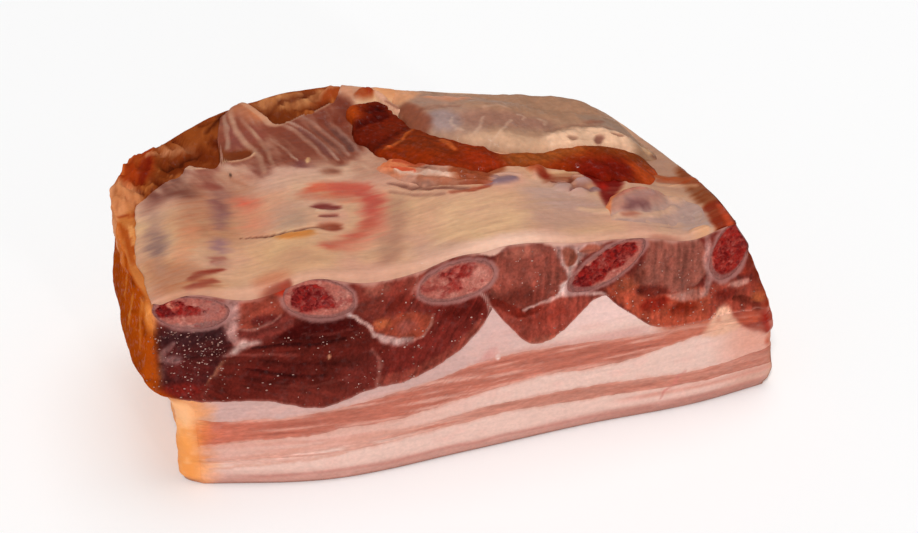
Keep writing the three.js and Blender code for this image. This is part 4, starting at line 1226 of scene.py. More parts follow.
pleura = {
    "columns": 340, "rows": 170, "tone": (204, 154, 120), "rim": (202, 150, 126),
    "fibreTurn": 5, "brush": 2.3,
    "spans": {"front": 88, "left": 165, "right": 145, "back": 60},  # distance across, seen from each side
}
topMarks = [
    # cooler and warmer fields
    patch((160, 96, 68), [-84, 24, -86, 34, -82, 48, -72, 60, -60, 60, -60, 48, -64, 36, -66, 25, -74, 22],
        0.6, 6),
    patch((166, 98, 64), [-98, 10, -97, 20, -91, 18, -83, 10, -79, 2, -82, -4, -94, -4], 0.6, 4),
    patch((178, 134, 116), [8, 4, 14, 20, 30, 22, 36, 12, 30, 4, 18, 2], 0.6, 5),
    patch((200, 152, 110), [-66, 3, -70, 18, -54, 20, -46, 8, -52, 2], 0.5, 5),
    patch((214, 172, 130), [-18, 4, -10, 24, 4, 22, 8, 4], 0.55, 5),
    patch((202, 138, 108), [-66, 24, -68, 40, -54, 46, -50, 30], 0.6, 5),
    patch((172, 136, 118), [-62, 26, -58, 34, -50, 36, -48, 28, -54, 23], 0.5, 4),
    patch((186, 132, 102), [-62, 4, -60, 12, -54, 14, -50, 6], 0.5, 4),
    # shadows of the ribs and red streaks at the left
    oval((146, 96, 84), -69.8, 51, 3.2, 6, 0.7, 1),
    oval((138, 90, 84), -72.2, 38, 2.3, 8, 0.85, 1.1, 0.2, -6),
    oval((128, 70, 62), -71.2, 43, 1.5, 3, 0.55, 1.4),
    oval((144, 102, 106), -75, 21.6, 2.2, 4, 0.75, 1),
    oval((150, 96, 88), -77, 13.4, 2.4, 3, 0.5, 1.2),
    stroke((142, 54, 38), [-88, 0.6, -84, 2.4, -80, 3.6], 0.5, 0.8, 2),
    stroke((136, 50, 34), [-85.4, 5.8, -82, 7.4, -77.6, 9], 0.9, 0.9, 2),
    stroke((146, 72, 60), [-79, 14, -77, 15, -75, 15.4], 0.4, 0.6, 1.4),
    oval((140, 104, 94), -92, 27.6, 3.4, 8, 0.75, 0.9),
    oval((150, 112, 100), -90.6, 40, 2.6, 5, 0.5, 1),
    oval((122, 92, 88), -91.6, 25, 1.8, 3.6, 0.5, 1.4),
    oval((162, 120, 104), -93, 14, 2, 4, 0.5, 1.2),
    stroke((162, 112, 90), [-32, 2, -29, 10, -25, 20, -22, 30], 0.2, 0.65, 6, 0.2),
    stroke((204, 128, 92), [-86, 16, -84, 24, -82, 33], 1.6, 0.4, 3.6),
    oval((202, 90, 68), -63.6, 43, 2, 2.6, 0.85, 2.2, 0, 20),
    oval((206, 116, 88), -63.5, 33, 2.4, 6, 0.55, 2.4),
    # red blush round the middle
    stroke((206, 90, 62), [-43.6, 43, -39, 44, -34, 43.6, -29, 41.6], 0.4, 0.95, 4.2),
    stroke((186, 84, 68), [-36, 43, -30, 41.6, -27.4, 37, -28.6, 30, -31, 24], 0.2, 0.9, 6.4),
    stroke((176, 74, 60), [-29.4, 38.6, -27.6, 34, -29, 30], 1.2, 0.6, 2.6),
    stroke((180, 84, 64), [-32, 22, -37.6, 17, -42, 13.6, -46, 12], 0.2, 0.8, 4.4),
    stroke((202, 116, 92), [-31, 17.6, -36, 13.4, -41, 11], 0.2, 0.5, 5),
    stroke((184, 78, 54), [-46, 39.4, -40, 39, -33, 38], 0.6, 0.55, 5),
    # three small thin places
    oval((118, 46, 40), -42, 32.6, 4, 2, 1, 0.6, -0.4),
    # raised pale lower rim of the first thin place: its pale edge with a painted highlight
    stroke((214, 180, 148), [-46.4, 30.6, -42, 30.4, -38, 31], 0.5, 0.6, 0.9, 0.3),
    oval((132, 68, 56), -42, 28.2, 2.8, 0.9, 0.95, 0.7, -0.3),
    oval((136, 58, 36), -43.6, 22.2, 3, 2.2, 1, 0.6, -0.4),
    # slit with fat under it
    patch((192, 118, 56), [-59, 21.4, -54, 21, -48.6, 20.6, -50, 17.6, -55, 17.4, -58, 19.6], 0.85, 1.2,
        0.25),
    patch((168, 134, 112), [-58, 24, -54, 30, -50, 30, -50, 25], 0.6, 2),
    stroke((96, 46, 32), [-68.6, 25, -64, 23.6, -59, 22.2, -53, 21.8, -45.6, 22], 0.3, 0.9, 0.5, -0.6),
    # thin film over the lean towards the back, with pale bands of fascia
    patch((126, 76, 62), [-90, 58, -84, 61, -80, 68, -77, 66, -78, 58, -79, 49, -85, 49, -91, 53], 0.9,
        2.4),
    oval((116, 62, 52), -89, 50, 3.4, 4.4, 0.6, 1, 0, -30),
    oval((108, 54, 40), -80, 51, 3.6, 4, 0.7, 1),
    patch((150, 86, 68), [-76, 66, -70, 66.4, -66, 68, -69, 60, -69, 53, -73, 52, -77, 56], 0.75, 2.2),
    oval((138, 66, 52), -71.4, 53.4, 3.6, 1.8, 0.7, 0.9),
    patch((126, 62, 44), [-67, 72, -64, 90, -56, 98, -48, 82, -36, 86, -22, 92, -23, 74, -24, 62, -32, 57,
        -44, 57, -52, 58.6, -57, 62, -63, 66], 0.95, 2.4, -0.4),
    oval((126, 66, 52), -56, 58.4, 3.4, 4, 0.8, 0.8),
    patch((124, 60, 42), [-48, 60, -47, 78, -42, 82, -37, 72, -37, 60], 0.9, 1.6),
    oval((128, 66, 56), -59, 79, 2.6, 5, 0.7, 0.8),
    oval((134, 68, 54), -52.6, 79, 2.6, 4, 0.7, 0.8, 0, 10),
    oval((122, 64, 58), -43, 57.6, 3.6, 2.6, 0.7, 0.8),
    patch((180, 108, 72), [-59, 90, -57, 98, -52, 92, -47, 84, -53, 84.6, -56, 88], 0.85, 1.4, 1.4),
    stroke((172, 124, 100), [-55.2, 57, -54.6, 64, -55, 72, -58, 82, -58, 90], 0.8, 0.75, 1.2, 0.25),
    stroke((160, 116, 96), [-62, 76, -61, 83, -60, 90], 0.6, 0.7, 1, 0.2),
    stroke((168, 120, 96), [-51.6, 60, -51.4, 67, -52, 74, -54.6, 84], 0.4, 0.7, 0.9, 0.25),
    stroke((176, 134, 112), [-44.6, 60, -46.4, 68, -49, 76], 0.3, 0.6, 0.7, 0.2),
    stroke((164, 116, 96), [-36, 60, -37.4, 68, -41, 77, -45, 82], 0.6, 0.7, 1.1, 0.25),
    stroke((170, 126, 108), [-32, 60, -34, 68, -38, 77, -43, 83], 0.4, 0.75, 0.9, 0.25),
    stroke((156, 112, 96), [-28, 62, -30, 70, -33.6, 79, -38, 84], 0.5, 0.7, 1, 0.25),
    stroke((150, 108, 94), [-24.6, 63, -26.4, 72, -29, 82, -33, 86], 0.5, 0.7, 1, 0.25),
    stroke((98, 58, 50), [-26.4, 64, -28.2, 74, -31, 83], 0.8, 0.65, 1.2),
    stroke((104, 62, 52), [-30, 62, -32, 70, -36, 79], 0.7, 0.6, 1.2),
    stroke((112, 62, 54), [-34, 62, -35.6, 70, -39.6, 78], 0.8, 0.6, 1.2),
    oval((236, 190, 130), -41.2, 59.6, 0.7, 1.6, 0.9, 0.5, 0.3, -20),
    oval((140, 82, 62), -36, 52.6, 3, 2, 0.8, 0.9),
    oval((188, 140, 114), -38, 58, 3.4, 3, 0.6, 0.9),
    patch((160, 106, 86), [-30, 47, -28, 60, -20, 63, -16, 54, -20, 46], 0.5, 3),
    oval((40, 22, 18), -64.6, 60, 0.5, 0.9, 0.9),
    stroke((204, 160, 132), [-91, 58, -86, 60.6, -82, 64.6, -79.6, 68.4, -76, 66, -71, 65.6, -66, 69.4],
        0.4, 0.8, 0.5, 0.25),
    oval((112, 46, 14), -59.8, 71.6, 4, 2.5, 1.6, 0.35, -0.4),
    patch((116, 52, 20), [-68, 70.6, -68, 80, -65, 78.4, -62.6, 73.6, -62, 70.4, -65, 69], 0.9, 0.9, -0.4),
    stroke((200, 152, 118), [-64.8, 70, -62, 68.6, -58.4, 68.2, -55, 69.8], 0.3, 0.95, 0.5, 0.4),
    # folds in front of the skirt, and the pale field at the right
    # dark sunk stroke in front of the fold: painted shadow cast by the fold
    stroke((122, 74, 60), [-21, 42, -14, 35.4, -8, 31.6, -1, 28], 0.6, 0.85, 1.2, -0.5),
    stroke((208, 156, 128), [-26, 43, -18, 34.4, -10, 29.6, -3, 26.4], 0.8, 0.6, 1.6, 0.5),
    # a second dark sunk stroke in front of the fold: painted shadow
    stroke((140, 92, 74), [-22, 37, -15, 31.4, -8, 27.6], 0.4, 0.6, 1.2, -0.4),
    stroke((152, 66, 42), [-6, 27.4, -1, 26.8, 5, 27.4], 0.9, 0.8, 1.4, -0.3),
    patch((128, 98, 104), [4, 28, 8, 30.4, 13.4, 30, 13.4, 27.4, 8, 26.4], 0.85, 1.2, 0.6),
    stroke((204, 160, 140), [7, 31.4, 10, 32, 15, 31], 0.6, 0.7, 1, 0.6),
    patch((140, 58, 24), [-2, 39, 10, 39, 12, 34, 5, 32, -1, 34.6], 0.85, 1.2),
    patch((178, 142, 130), [14, 24, 22, 28, 30, 24, 36, 14, 26, 12, 16, 16], 0.6, 4),
    patch((142, 74, 48), [22, 27, 26, 32, 33, 32, 36, 27, 33, 23, 27, 24], 0.8, 2, 0.3),
    stroke((198, 142, 116), [20, 30, 23, 34.6, 30, 35], 0.8, 0.8, 1.4, 0.9),
    stroke((192, 146, 126), [32, 30.6, 36.4, 29, 37.4, 25], 1.2, 0.7, 1.4, 0.9),
    stroke((188, 140, 120), [22, 25.4, 27, 27.6, 31, 26], 0.6, 0.6, 1.2, 0.5),
    oval((176, 140, 132), 27, 24.6, 2.8, 1.7, 0.85, 0.6, 1.4),
    oval((172, 136, 130), 33.4, 26.6, 2.3, 1.7, 0.85, 0.6, 1.5),
    oval((184, 142, 128), 31, 21.8, 2.6, 1.5, 0.8, 0.6, 1.2),
    stroke((106, 48, 32), [24.6, 27.4, 28.6, 27, 31, 29.4], 0.5, 0.85, 0.9, -0.6),
    stroke((126, 78, 72), [28.6, 22.6, 31, 24.6, 34, 24], 0.4, 0.8, 0.8, -0.6),
    oval((170, 68, 32), 21.4, 34, 2.6, 1.9, 0.9, 0.6, 1.5),
    oval((124, 30, 12), 23.6, 31.6, 2, 2.2, 0.95, 0.9, -0.4, -20),
    patch((108, 12, 4), [36, 13.6, 36.6, 20, 36.6, 27, 35.6, 33, 48, 32, 45, 25, 41.6, 20, 38.4, 16], 0.95,
        1.3, -0.6),
    oval((154, 118, 118), 36.2, 22.8, 1.6, 1.1, 0.85, 0.6, 0.9),
    oval((148, 104, 100), 35.4, 27.4, 1.3, 1, 0.8, 0.6, 0.7),
    oval((164, 26, 10), 39, 24.6, 1.4, 2.2, 0.8, 0.9),
    oval((112, 78, 78), 34.6, 22.4, 2.2, 0.9, 0.7, 0.9, -0.3),
    patch((182, 140, 120), [40, 3, 42, 14, 56, 20, 68, 20, 70, 6, 60, 0], 0.6, 4),
    stroke((148, 76, 58), [38.6, 8, 41, 7.6, 44, 8.4], 0.8, 0.9, 1.8),
    stroke((210, 164, 130), [28, 13, 34, 10.6, 42, 10.4], 0.9, 0.7, 1.8, 0.5),
    patch((168, 140, 132), [56, 2, 58, 10, 62, 14, 66, 8, 64, 1], 0.7, 2.4),
    patch((164, 122, 100), [54, 26, 56, 46, 62, 60, 72, 40, 72, 18, 64, 20], 0.85, 3),
    stroke((114, 72, 46), [48, 72.6, 56, 66.4, 61, 60, 66, 51, 69, 43], 0.8, 0.7, 1.4),
    patch((124, 58, 26), [65, 14, 65.6, 34, 72, 32, 74, 12, 68, 10], 0.9, 1.6, -0.3),
    stroke((156, 72, 34), [56, 33, 60, 31.4, 65, 29, 71, 26], 1.2, 0.85, 1.6, 0.3),
    stroke((150, 60, 26), [58, 29.4, 63, 28, 70, 23], 0.8, 0.6, 1.4, 0.2),
    stroke((206, 152, 116), [57, 27.6, 62, 26, 68, 23], 0.6, 0.6, 1.2, 0.3),
    patch((128, 38, 10), [64.6, -4, 64.8, 6, 66, 12, 74, 12, 78, -4], 1, 1.2, -0.4),
    stroke((190, 70, 36), [69, -2, 69.6, 5, 70, 10], 0.8, 0.7, 1.4, 0.3),
    oval((210, 154, 116), 59.8, -0.4, 3, 2.2, 0.95, 0.5, 1.3),
    # bits behind the skirt's back end
    patch((112, 46, 28), [-33, 82, -31, 91, -23, 90, -21, 84, -26, 79], 0.85, 1.8),
    patch((196, 134, 102), [-24, 91, -22, 98, -14, 98, -12, 90, -17, 88], 0.85, 1.6, 0.3),
    oval((152, 48, 8), -16.2, 89, 3, 2.6, 1, 0.35, 1.8),
    patch((210, 142, 96), [-13, 93, -4, 91, -2, 85, -10, 86], 0.85, 1.6, 0.6),
    stroke((208, 152, 124), [-12.6, 88, -10, 82, -7, 77], 1.6, 0.85, 1, 1.4),
    stroke((150, 96, 74), [-11, 84, -8.4, 79], 0.5, 0.7, 0.8, -0.3),
]
rimMarks = [  # lean that shows past the rim
    oval((190, 102, 70), -65, 1.2, 5, 3, 0.55, 0.9),
    patch((136, 58, 42), [-74, -7, -72.4, -3.6, -70, -2.4, -66, -1.5, -62.6, -1.3, -60.4, -1.6, -60.4, -7],
        0.85, 0.7),
    oval((164, 56, 38), -62.4, -3, 1.7, 1.2, 0.7, 0.8),
    patch((150, 86, 70), [41.6, -7, 43, -2.6, 47, -1.4, 53, -1.4, 58, -2.8, 59, -7], 0.75),
]


def buildPleura():
    columns, rows, spans = pleura["columns"], pleura["rows"], pleura["spans"]
    u = np.linspace(0, 1, columns + 1)
    v = np.linspace(0, 1, 241)
    x, y = planPoint(u[:, None], v[None, :], 65)
    past = y > tornLine(x)
    ends = np.where(past.any(1), v[np.argmax(past, axis=1)], 1.0)

    def place(u, v, w):
        u, v, w = np.broadcast_arrays(u, v, w)
        end = np.interp(u, np.linspace(0, 1, columns + 1), ends)
        deep = np.where(v < 0.5, v * 0.96, mix(0.48, end, np.clip(2 * v - 1, 0, 1)))
        z = boundary(u, deep, topHeight)
        x, y = planPoint(u, deep, z)
        bare = leftBare(y) * (1 + 0.22 * layered(level(y), 7, 118))
        x = x + bare * (1 - u) ** 4  # the left edge stays back from the slab's
        thick = pleuraThickness(x, y)
        fromFront = deep * spans["front"]
        otherSides = [u * spans["left"], (1 - u) * spans["right"], (1 - v) * spans["back"] + 0.01]
        rim = np.minimum.reduce([fromFront, *otherSides])
        drop = 1 - np.sqrt(1 - (1 - np.clip(rim / 2.0, 0, 1)) ** 2)
        z = topHeight(x, y)
        lip = fade(fromFront, 0, 1.6)  # the front edge rolls over the lean
        low = thick + 0.3 * lip * (1 + 0.5 * layered(level(x), 9, 117))
        return np.stack([x, y - 0.35 * lip, z - low * (1 - w) - 0.75 * thick * drop * w], -1)

    points, share, quads, others, _ = closedSheet(place, columns, rows, 5, 1, 5)
    flat = points * np.array([1, 1, 0])
    run, side = turned(flat[:, 0], flat[:, 1], pleura["fibreTurn"])
    fibres = level(run, side + 0.8 * noise(flat, 12, 119))
    brush = pleura["brush"] * layered(fibres, (13, 1.5, 1), 120) * fade(flat[:, 1], 46, 54)
    brush *= 1 - np.maximum(ramp(flat[:, 0], 12, 22), ramp(flat[:, 0], -27, -20) * ramp(flat[:, 1], 20, 27))
    spot = points[:, :2] + ragged(flat, 0.7, 121, 4)
    spot[:, 0] += brush
    colours = plain(pleura["tone"], len(points))
    lift = np.zeros(len(points))
    blotch = layered(flat, 14, 123)
    thread = layered(fibres, (11, 1.1, 1), 125)
    tint(colours, (216, 174, 128), ramp(blotch, 0, 0.6) * 0.7)
    tint(colours, (204, 146, 124), ramp(-blotch, 0, 0.6) * 0.7)
    tint(colours, (190, 148, 128), ramp(layered(flat, (18, 9, 1), 124), 0.1, 0.6) * 0.6)
    # pinkish grey towards the back on the left: painted sheen
    tint(colours, (202, 158, 138), ramp(flat[:, 1], 36, 50) * fade(flat[:, 0], -30, -10) * 0.6)
    banded = layered(level(0.9 * flat[:, 0] + 0.3 * flat[:, 1], flat[:, 1] / 3), 2.2, 126)
    grit = mix(0.9 * thread, 1.4 * banded, ramp(flat[:, 1], 48, 56))
    paint(colours, lift, spot, topMarks, grit)
    colours *= (1 + 0.06 * thread)[:, None]
    lift += 0.07 * thread + 0.12 * layered(flat, 4, 127)
    lift = np.maximum(lift, -0.5 * pleuraThickness(points[:, 0], points[:, 1]))  # never through to the lean
    edge = points[:, 1] + 3 - 0.6 * layered(flat, 5, 129)
    tint(colours, pleura["rim"], fade(edge, 1.0, 5) * 0.75 * fade(points[:, 0], 57, 61))
    # whiter band along the front edge round the middle: the membrane's pale edge with a painted highlight
    # where the rim is lit
    tint(colours, (236, 194, 172), fade(edge, 1.0, 6) * bell(points[:, 0] - 1, 18) * 0.75)
    paint(colours, lift, points[:, :2], rimMarks)
    torn = ramp(points[:, 1] - tornLine(points[:, 0]), -1.4, -0.2)
    tint(colours, (196, 146, 116), torn * 0.6)
    colours *= (1 + 0.03 * layered(flat, 1.2, 131))[:, None]
    points[:, 2] += lift * (share > 0.99)
    wet = 0.5 + 0.35 * layered(flat, 6, 133)
    makePiece("pleura", points, quads, others, colours, {"wet": wet, "fine": 1}, "pleura", "pleura", sharp=70)


buildPleura()

# What lies on the membrane: strips along a path and rounded lumps


def buildStrip(name, values, marks, finish, slotName):
    line = edgeCurve(*np.reshape(values["path"], (-1, 2)))
    steps, across = values["grid"]
    fine = np.linspace(0, 1, 400)
    centres = line(fine)
    tangents = np.gradient(centres, axis=0)
    tangents /= np.linalg.norm(tangents, axis=1, keepdims=True)
    reach = np.r_[0, np.cumsum(np.linalg.norm(np.diff(centres, axis=0), axis=1))]
    seed = values["seed"]

    def place(u, v, w):
        u, v, w = np.broadcast_arrays(u, v, w)
        s = 0.5 - 0.5 * np.cos(np.pi * u)  # closer steps at the ends
        cx, cy = np.interp(s, fine, centres[:, 0]), np.interp(s, fine, centres[:, 1])
        tx, ty = np.interp(s, fine, tangents[:, 0]), np.interp(s, fine, tangents[:, 1])
        run = np.interp(s, fine, reach)
        t = 2 * v - 1
        wobble = 1 + 0.3 * layered(level(run, np.sign(t) * 30), 6, seed)
        side = values["wide"] / 2 * values["width"](s) * t * wobble
        x, y = cx - ty * side, cy + tx * side
        arch = np.sqrt(np.clip(1 - np.abs(t) ** values["flat"], 0, 1))
        end = np.sqrt(np.clip(1 - np.abs(2 * s - 1) ** 10, 0, 1))
        bed = level(run, side)
        fibre = layered(bed, (9, 0.9, 1), seed + 3)
        lump = layered(bed, 8, seed + 5)
        ridge = np.cos(2 * np.pi * values["ridges"] * (t + 0.25 * layered(bed, (9, 9, 1), seed + 4)))
        rise = values["high"] * values["height"](s) * arch * end * (1 + 0.35 * lump)
        crumple = values["crumple"] * (ridged(bed, (12, 6, 1), seed + 6) - 0.7)
        detail = (values["fibre"] * fibre + crumple) * arch * end
        rise = rise * (1 - values["ridged"] * (0.5 - 0.5 * ridge)) + detail
        return np.stack([x, y, topHeight(x, y) - 1.2 + w * (rise + 1.0)], -1)

    points, share, quads, others, _ = closedSheet(place, steps, across, 5, 1, 4)
    flat = points * np.array([1, 1, 0])
    colours = plain(values["tone"], len(points))
    lift = np.zeros(len(points))
    spun = level(*turned(flat[:, 0], flat[:, 1], values["grainTurn"]))
    thread = layered(spun, (9, 1.1, 1), seed + 7)
    paint(colours, lift, points[:, :2] + ragged(flat, 0.8, seed + 9), marks)
    colours *= (1 + values["streak"] * thread + 0.08 * layered(flat, 1.4, seed + 11))[:, None]
    points[:, 2] += (lift + values["fibre"] * thread) * (share > 0.99)
    wet = values["wet"] + 0.35 * layered(flat, 4, seed + 13)
    makePiece(name, points, quads, others, colours, {"wet": wet, "fine": 1}, finish, slotName, sharp=75)


skirt = {
    "path": [-18.5, 85, -17, 76, -13, 64, -4.6, 51, 5.4, 41, 18, 39, 33, 39.6, 47, 37, 57, 29],
    "wide": 15, "high": 2.6, "flat": 8, "grid": (320, 60), "tone": (128, 40, 8),
    "fibre": 0.16, "streak": 0.16, "seed": 200, "grainTurn": -52, "wet": 0.55,
    "ridges": 0.5, "ridged": 0.1, "crumple": 0.4,
    "width": curveThrough((0, 0.3), (0.015, 0.56), (0.05, 0.84), (0.1, 0.98), (0.2, 1.2), (0.3, 1.15),
                          (0.42, 0.95), (0.5, 0.95), (0.56, 0.55), (0.61, 0.5), (0.72, 0.8), (0.84, 1.3),
                          (0.93, 1.15), (1, 0.5)),
    "height": curveThrough((0, 1), (0.1, 1.15), (0.2, 0.85), (0.3, 1), (0.5, 0.85), (0.6, 0.5), (0.72, 0.9),
                           (0.85, 1.0), (1, 0.3)),
}
skirtMarks = [
    patch((158, 60, 16), [-32, 94, -19.4, 94, -20, 84, -21, 76, -28, 74], 0.95, 2.2, 0.6),
    # deep red hollow between the skirt's first two lumps: the meat's own dark red with painted shade
    oval((60, 5, 2), -15, 79.6, 3.6, 4.4, 0.95, 0.9, -1),
    patch((92, 20, 6), [-26, 76, -14, 78, -8, 73, -9, 66, -14, 60, -25, 62], 0.85, 3),
    # dark sunk crease: painted shade
    stroke((60, 6, 3), [-22, 74, -18, 75.4, -13, 76.4], 0.4, 0.7, 1.8, -0.5),
    oval((118, 36, 12), -13, 70, 5, 4, 0.6, 0.9, 0.4),
    patch((122, 44, 14), [-17, 60, -8, 67, -2, 60, 2, 50, -4, 46, -12, 54], 0.8, 3),
    # dark sunk crease: painted shade
    stroke((74, 16, 5), [-20, 61, -14, 65, -7, 68], 0.4, 0.6, 1.8, -0.4),
    stroke((190, 92, 40), [-17.6, 58, -12.6, 60.6, -8, 64.6], 0.5, 0.7, 0.9, 0.4),
    stroke((190, 92, 42), [-2.4, 54, -0.4, 50, 0.4, 46.6], 0.9, 0.7, 1, 0.3),
    patch((138, 38, 10), [-1, 42, 8, 44, 13, 37, 11, 31, 2, 33], 0.75, 3),
    patch((146, 74, 30), [14, 46, 24, 47, 36, 48, 40, 42, 28, 37, 14, 35], 0.85, 3),
    patch((116, 52, 18), [38, 49, 58, 49, 62, 35, 52, 37, 42, 41], 0.85, 3),
    patch((106, 16, 6), [34, 35, 41, 36, 50, 35, 50, 28, 40, 27, 34, 31], 0.85, 3, -0.6),
    patch((172, 68, 26), [51, 35, 60, 35, 62, 25, 53, 25], 0.8, 2.5),
    stroke((196, 100, 44), [20, 44.6, 30, 45.6, 40, 45], 0.5, 0.4, 1.4, 0.2),
]
buildStrip("skirt", skirt, skirtMarks, "skirt", "skirt")

fold = {
    "path": [-20, 53, -15, 45.5, -8.6, 38.6, 0, 32.6, 9, 29],
    "wide": 9, "high": 2.4, "flat": 2.4, "grid": (240, 60), "tone": (188, 134, 112),
    "fibre": 0.2, "streak": 0.14, "seed": 230, "grainTurn": -44, "wet": 0.5,
    "ridges": 1.4, "ridged": 0.45, "crumple": 0.5,
    "width": curveThrough((0, 0.9), (0.4, 1.05), (0.8, 0.8), (1, 0.4)),
    "height": curveThrough((0, 0.6), (0.3, 1), (0.6, 1), (1, 0.5)),
}
foldMarks = [
    patch((216, 116, 70), [-24, 57, -15, 54, -10, 47, -14, 42, -21, 47], 0.85, 2),
    stroke((222, 182, 160), [-18, 46, -12, 39.4, -7, 35.6, -3.4, 33], 1.2, 0.85, 1, 0.5),
    # this and the next stroke: darker sunk lines in the fold's valley and along its near border, painted
    # shade
    stroke((112, 62, 46), [-14, 47, -7, 39, 1, 32.6], 0.8, 0.85, 0.9, -0.7),
    stroke((128, 84, 68), [-15.4, 38, -9.6, 33.2, -2.6, 29], 0.4, 0.6, 0.8, -0.3),
    stroke((150, 70, 46), [-3, 30, 2, 28.6, 7, 27.8], 0.8, 0.8, 0.9),
    stroke((176, 64, 34), [-17, 52, -10, 45.6, -3, 39], 0.8, 0.75, 1, 0.3),
    # darker sunk line in a valley of the fold: painted shade
    stroke((150, 104, 82), [-8, 45, -3, 40, 3, 35], 1.2, 0.8, 1, -0.4),
    stroke((200, 148, 124), [-10, 42, -4, 37, 3, 32], 0.8, 0.7, 0.9, 0.4),
    stroke((160, 84, 54), [-13, 38, -8, 34.4, -3, 31], 0.8, 0.6, 1.4),
    stroke((196, 70, 40), [-20, 49, -16, 46, -13, 42], 0.5, 0.7, 0.8, 0.3),
    patch((140, 58, 24), [-4, 38, 5, 39, 8, 33, 4, 28.6, -3.4, 32], 0.9, 1.2),
    patch((150, 112, 112), [6.6, 30.8, 11, 31.4, 14, 29, 8, 26], 0.8, 1.2),
]
buildStrip("fold", fold, foldMarks, "pleura", "pleura")


def buildLump(name, values, marks, finish, slotName):
    sides, rings = values["grid"]
    seed = values["seed"]
    outline = np.reshape(values["outline"], (-1, 2))
    ring = edgeCurve(*outline, outline[0])(np.arange(sides) / sides)
    area = np.sum(ring[:, 0] * np.roll(ring[:, 1], -1) - ring[:, 1] * np.roll(ring[:, 0], -1))
    ring = ring if area > 0 else ring[::-1]
    centre = ring.mean(0)
    shares = [1.0, *np.sin(np.linspace(np.pi / 2, 0.02, rings))]
    points = []
    for k, share in enumerate(shares):
        xy = mix(centre, ring, share)
        xy = xy + ragged(np.c_[xy, np.zeros(sides)], 0.9 * share, seed, 6)
        rise = values["high"] * (1 - share ** values["full"]) ** 0.5 * values["fade"](xy) if k else -1.2
        points.append(np.c_[xy, topHeight(xy[:, 0], xy[:, 1]) + rise])
    points = np.concatenate(points)
    share = np.repeat(shares, sides)
    flat = points * np.array([1, 1, 0])
    colours = plain(values["tone"], len(points))
    lift = np.zeros(len(points))
    paint(colours, lift, points[:, :2] + ragged(flat, 0.9, seed + 2), marks)
    nearest = cells(flat + 0.8 * layered(flat, 2, seed + 3)[:, None], values["nodule"], seed + 4)[0]
    knob = np.sqrt(np.clip(1 - nearest, 0, 1))
    nodular = values["nodular"](points)
    lift += nodular * 0.9 * (knob - 0.5)
    colours *= (1 + nodular * 0.18 * (knob - 0.6))[:, None]
    thread = layered(flat, (2.2, 9, 1), seed + 6)
    lift += 0.5 * layered(flat, 7, seed + 8) + values["fibre"] * thread
    colours *= (1 + 0.06 * thread + 0.05 * layered(flat, 1.4, seed + 10))[:, None]
    points[sides:, 2] += lift[sides:] * ramp(1 - share[sides:], 0, 0.06)
    wet = 0.5 + 0.35 * layered(flat, 5, seed + 12)
    makePiece(name, points, ringQuads(sides, rings), ringLids(sides, rings), colours, {"wet": wet, "fine": 1},
              finish, slotName, sharp=75)


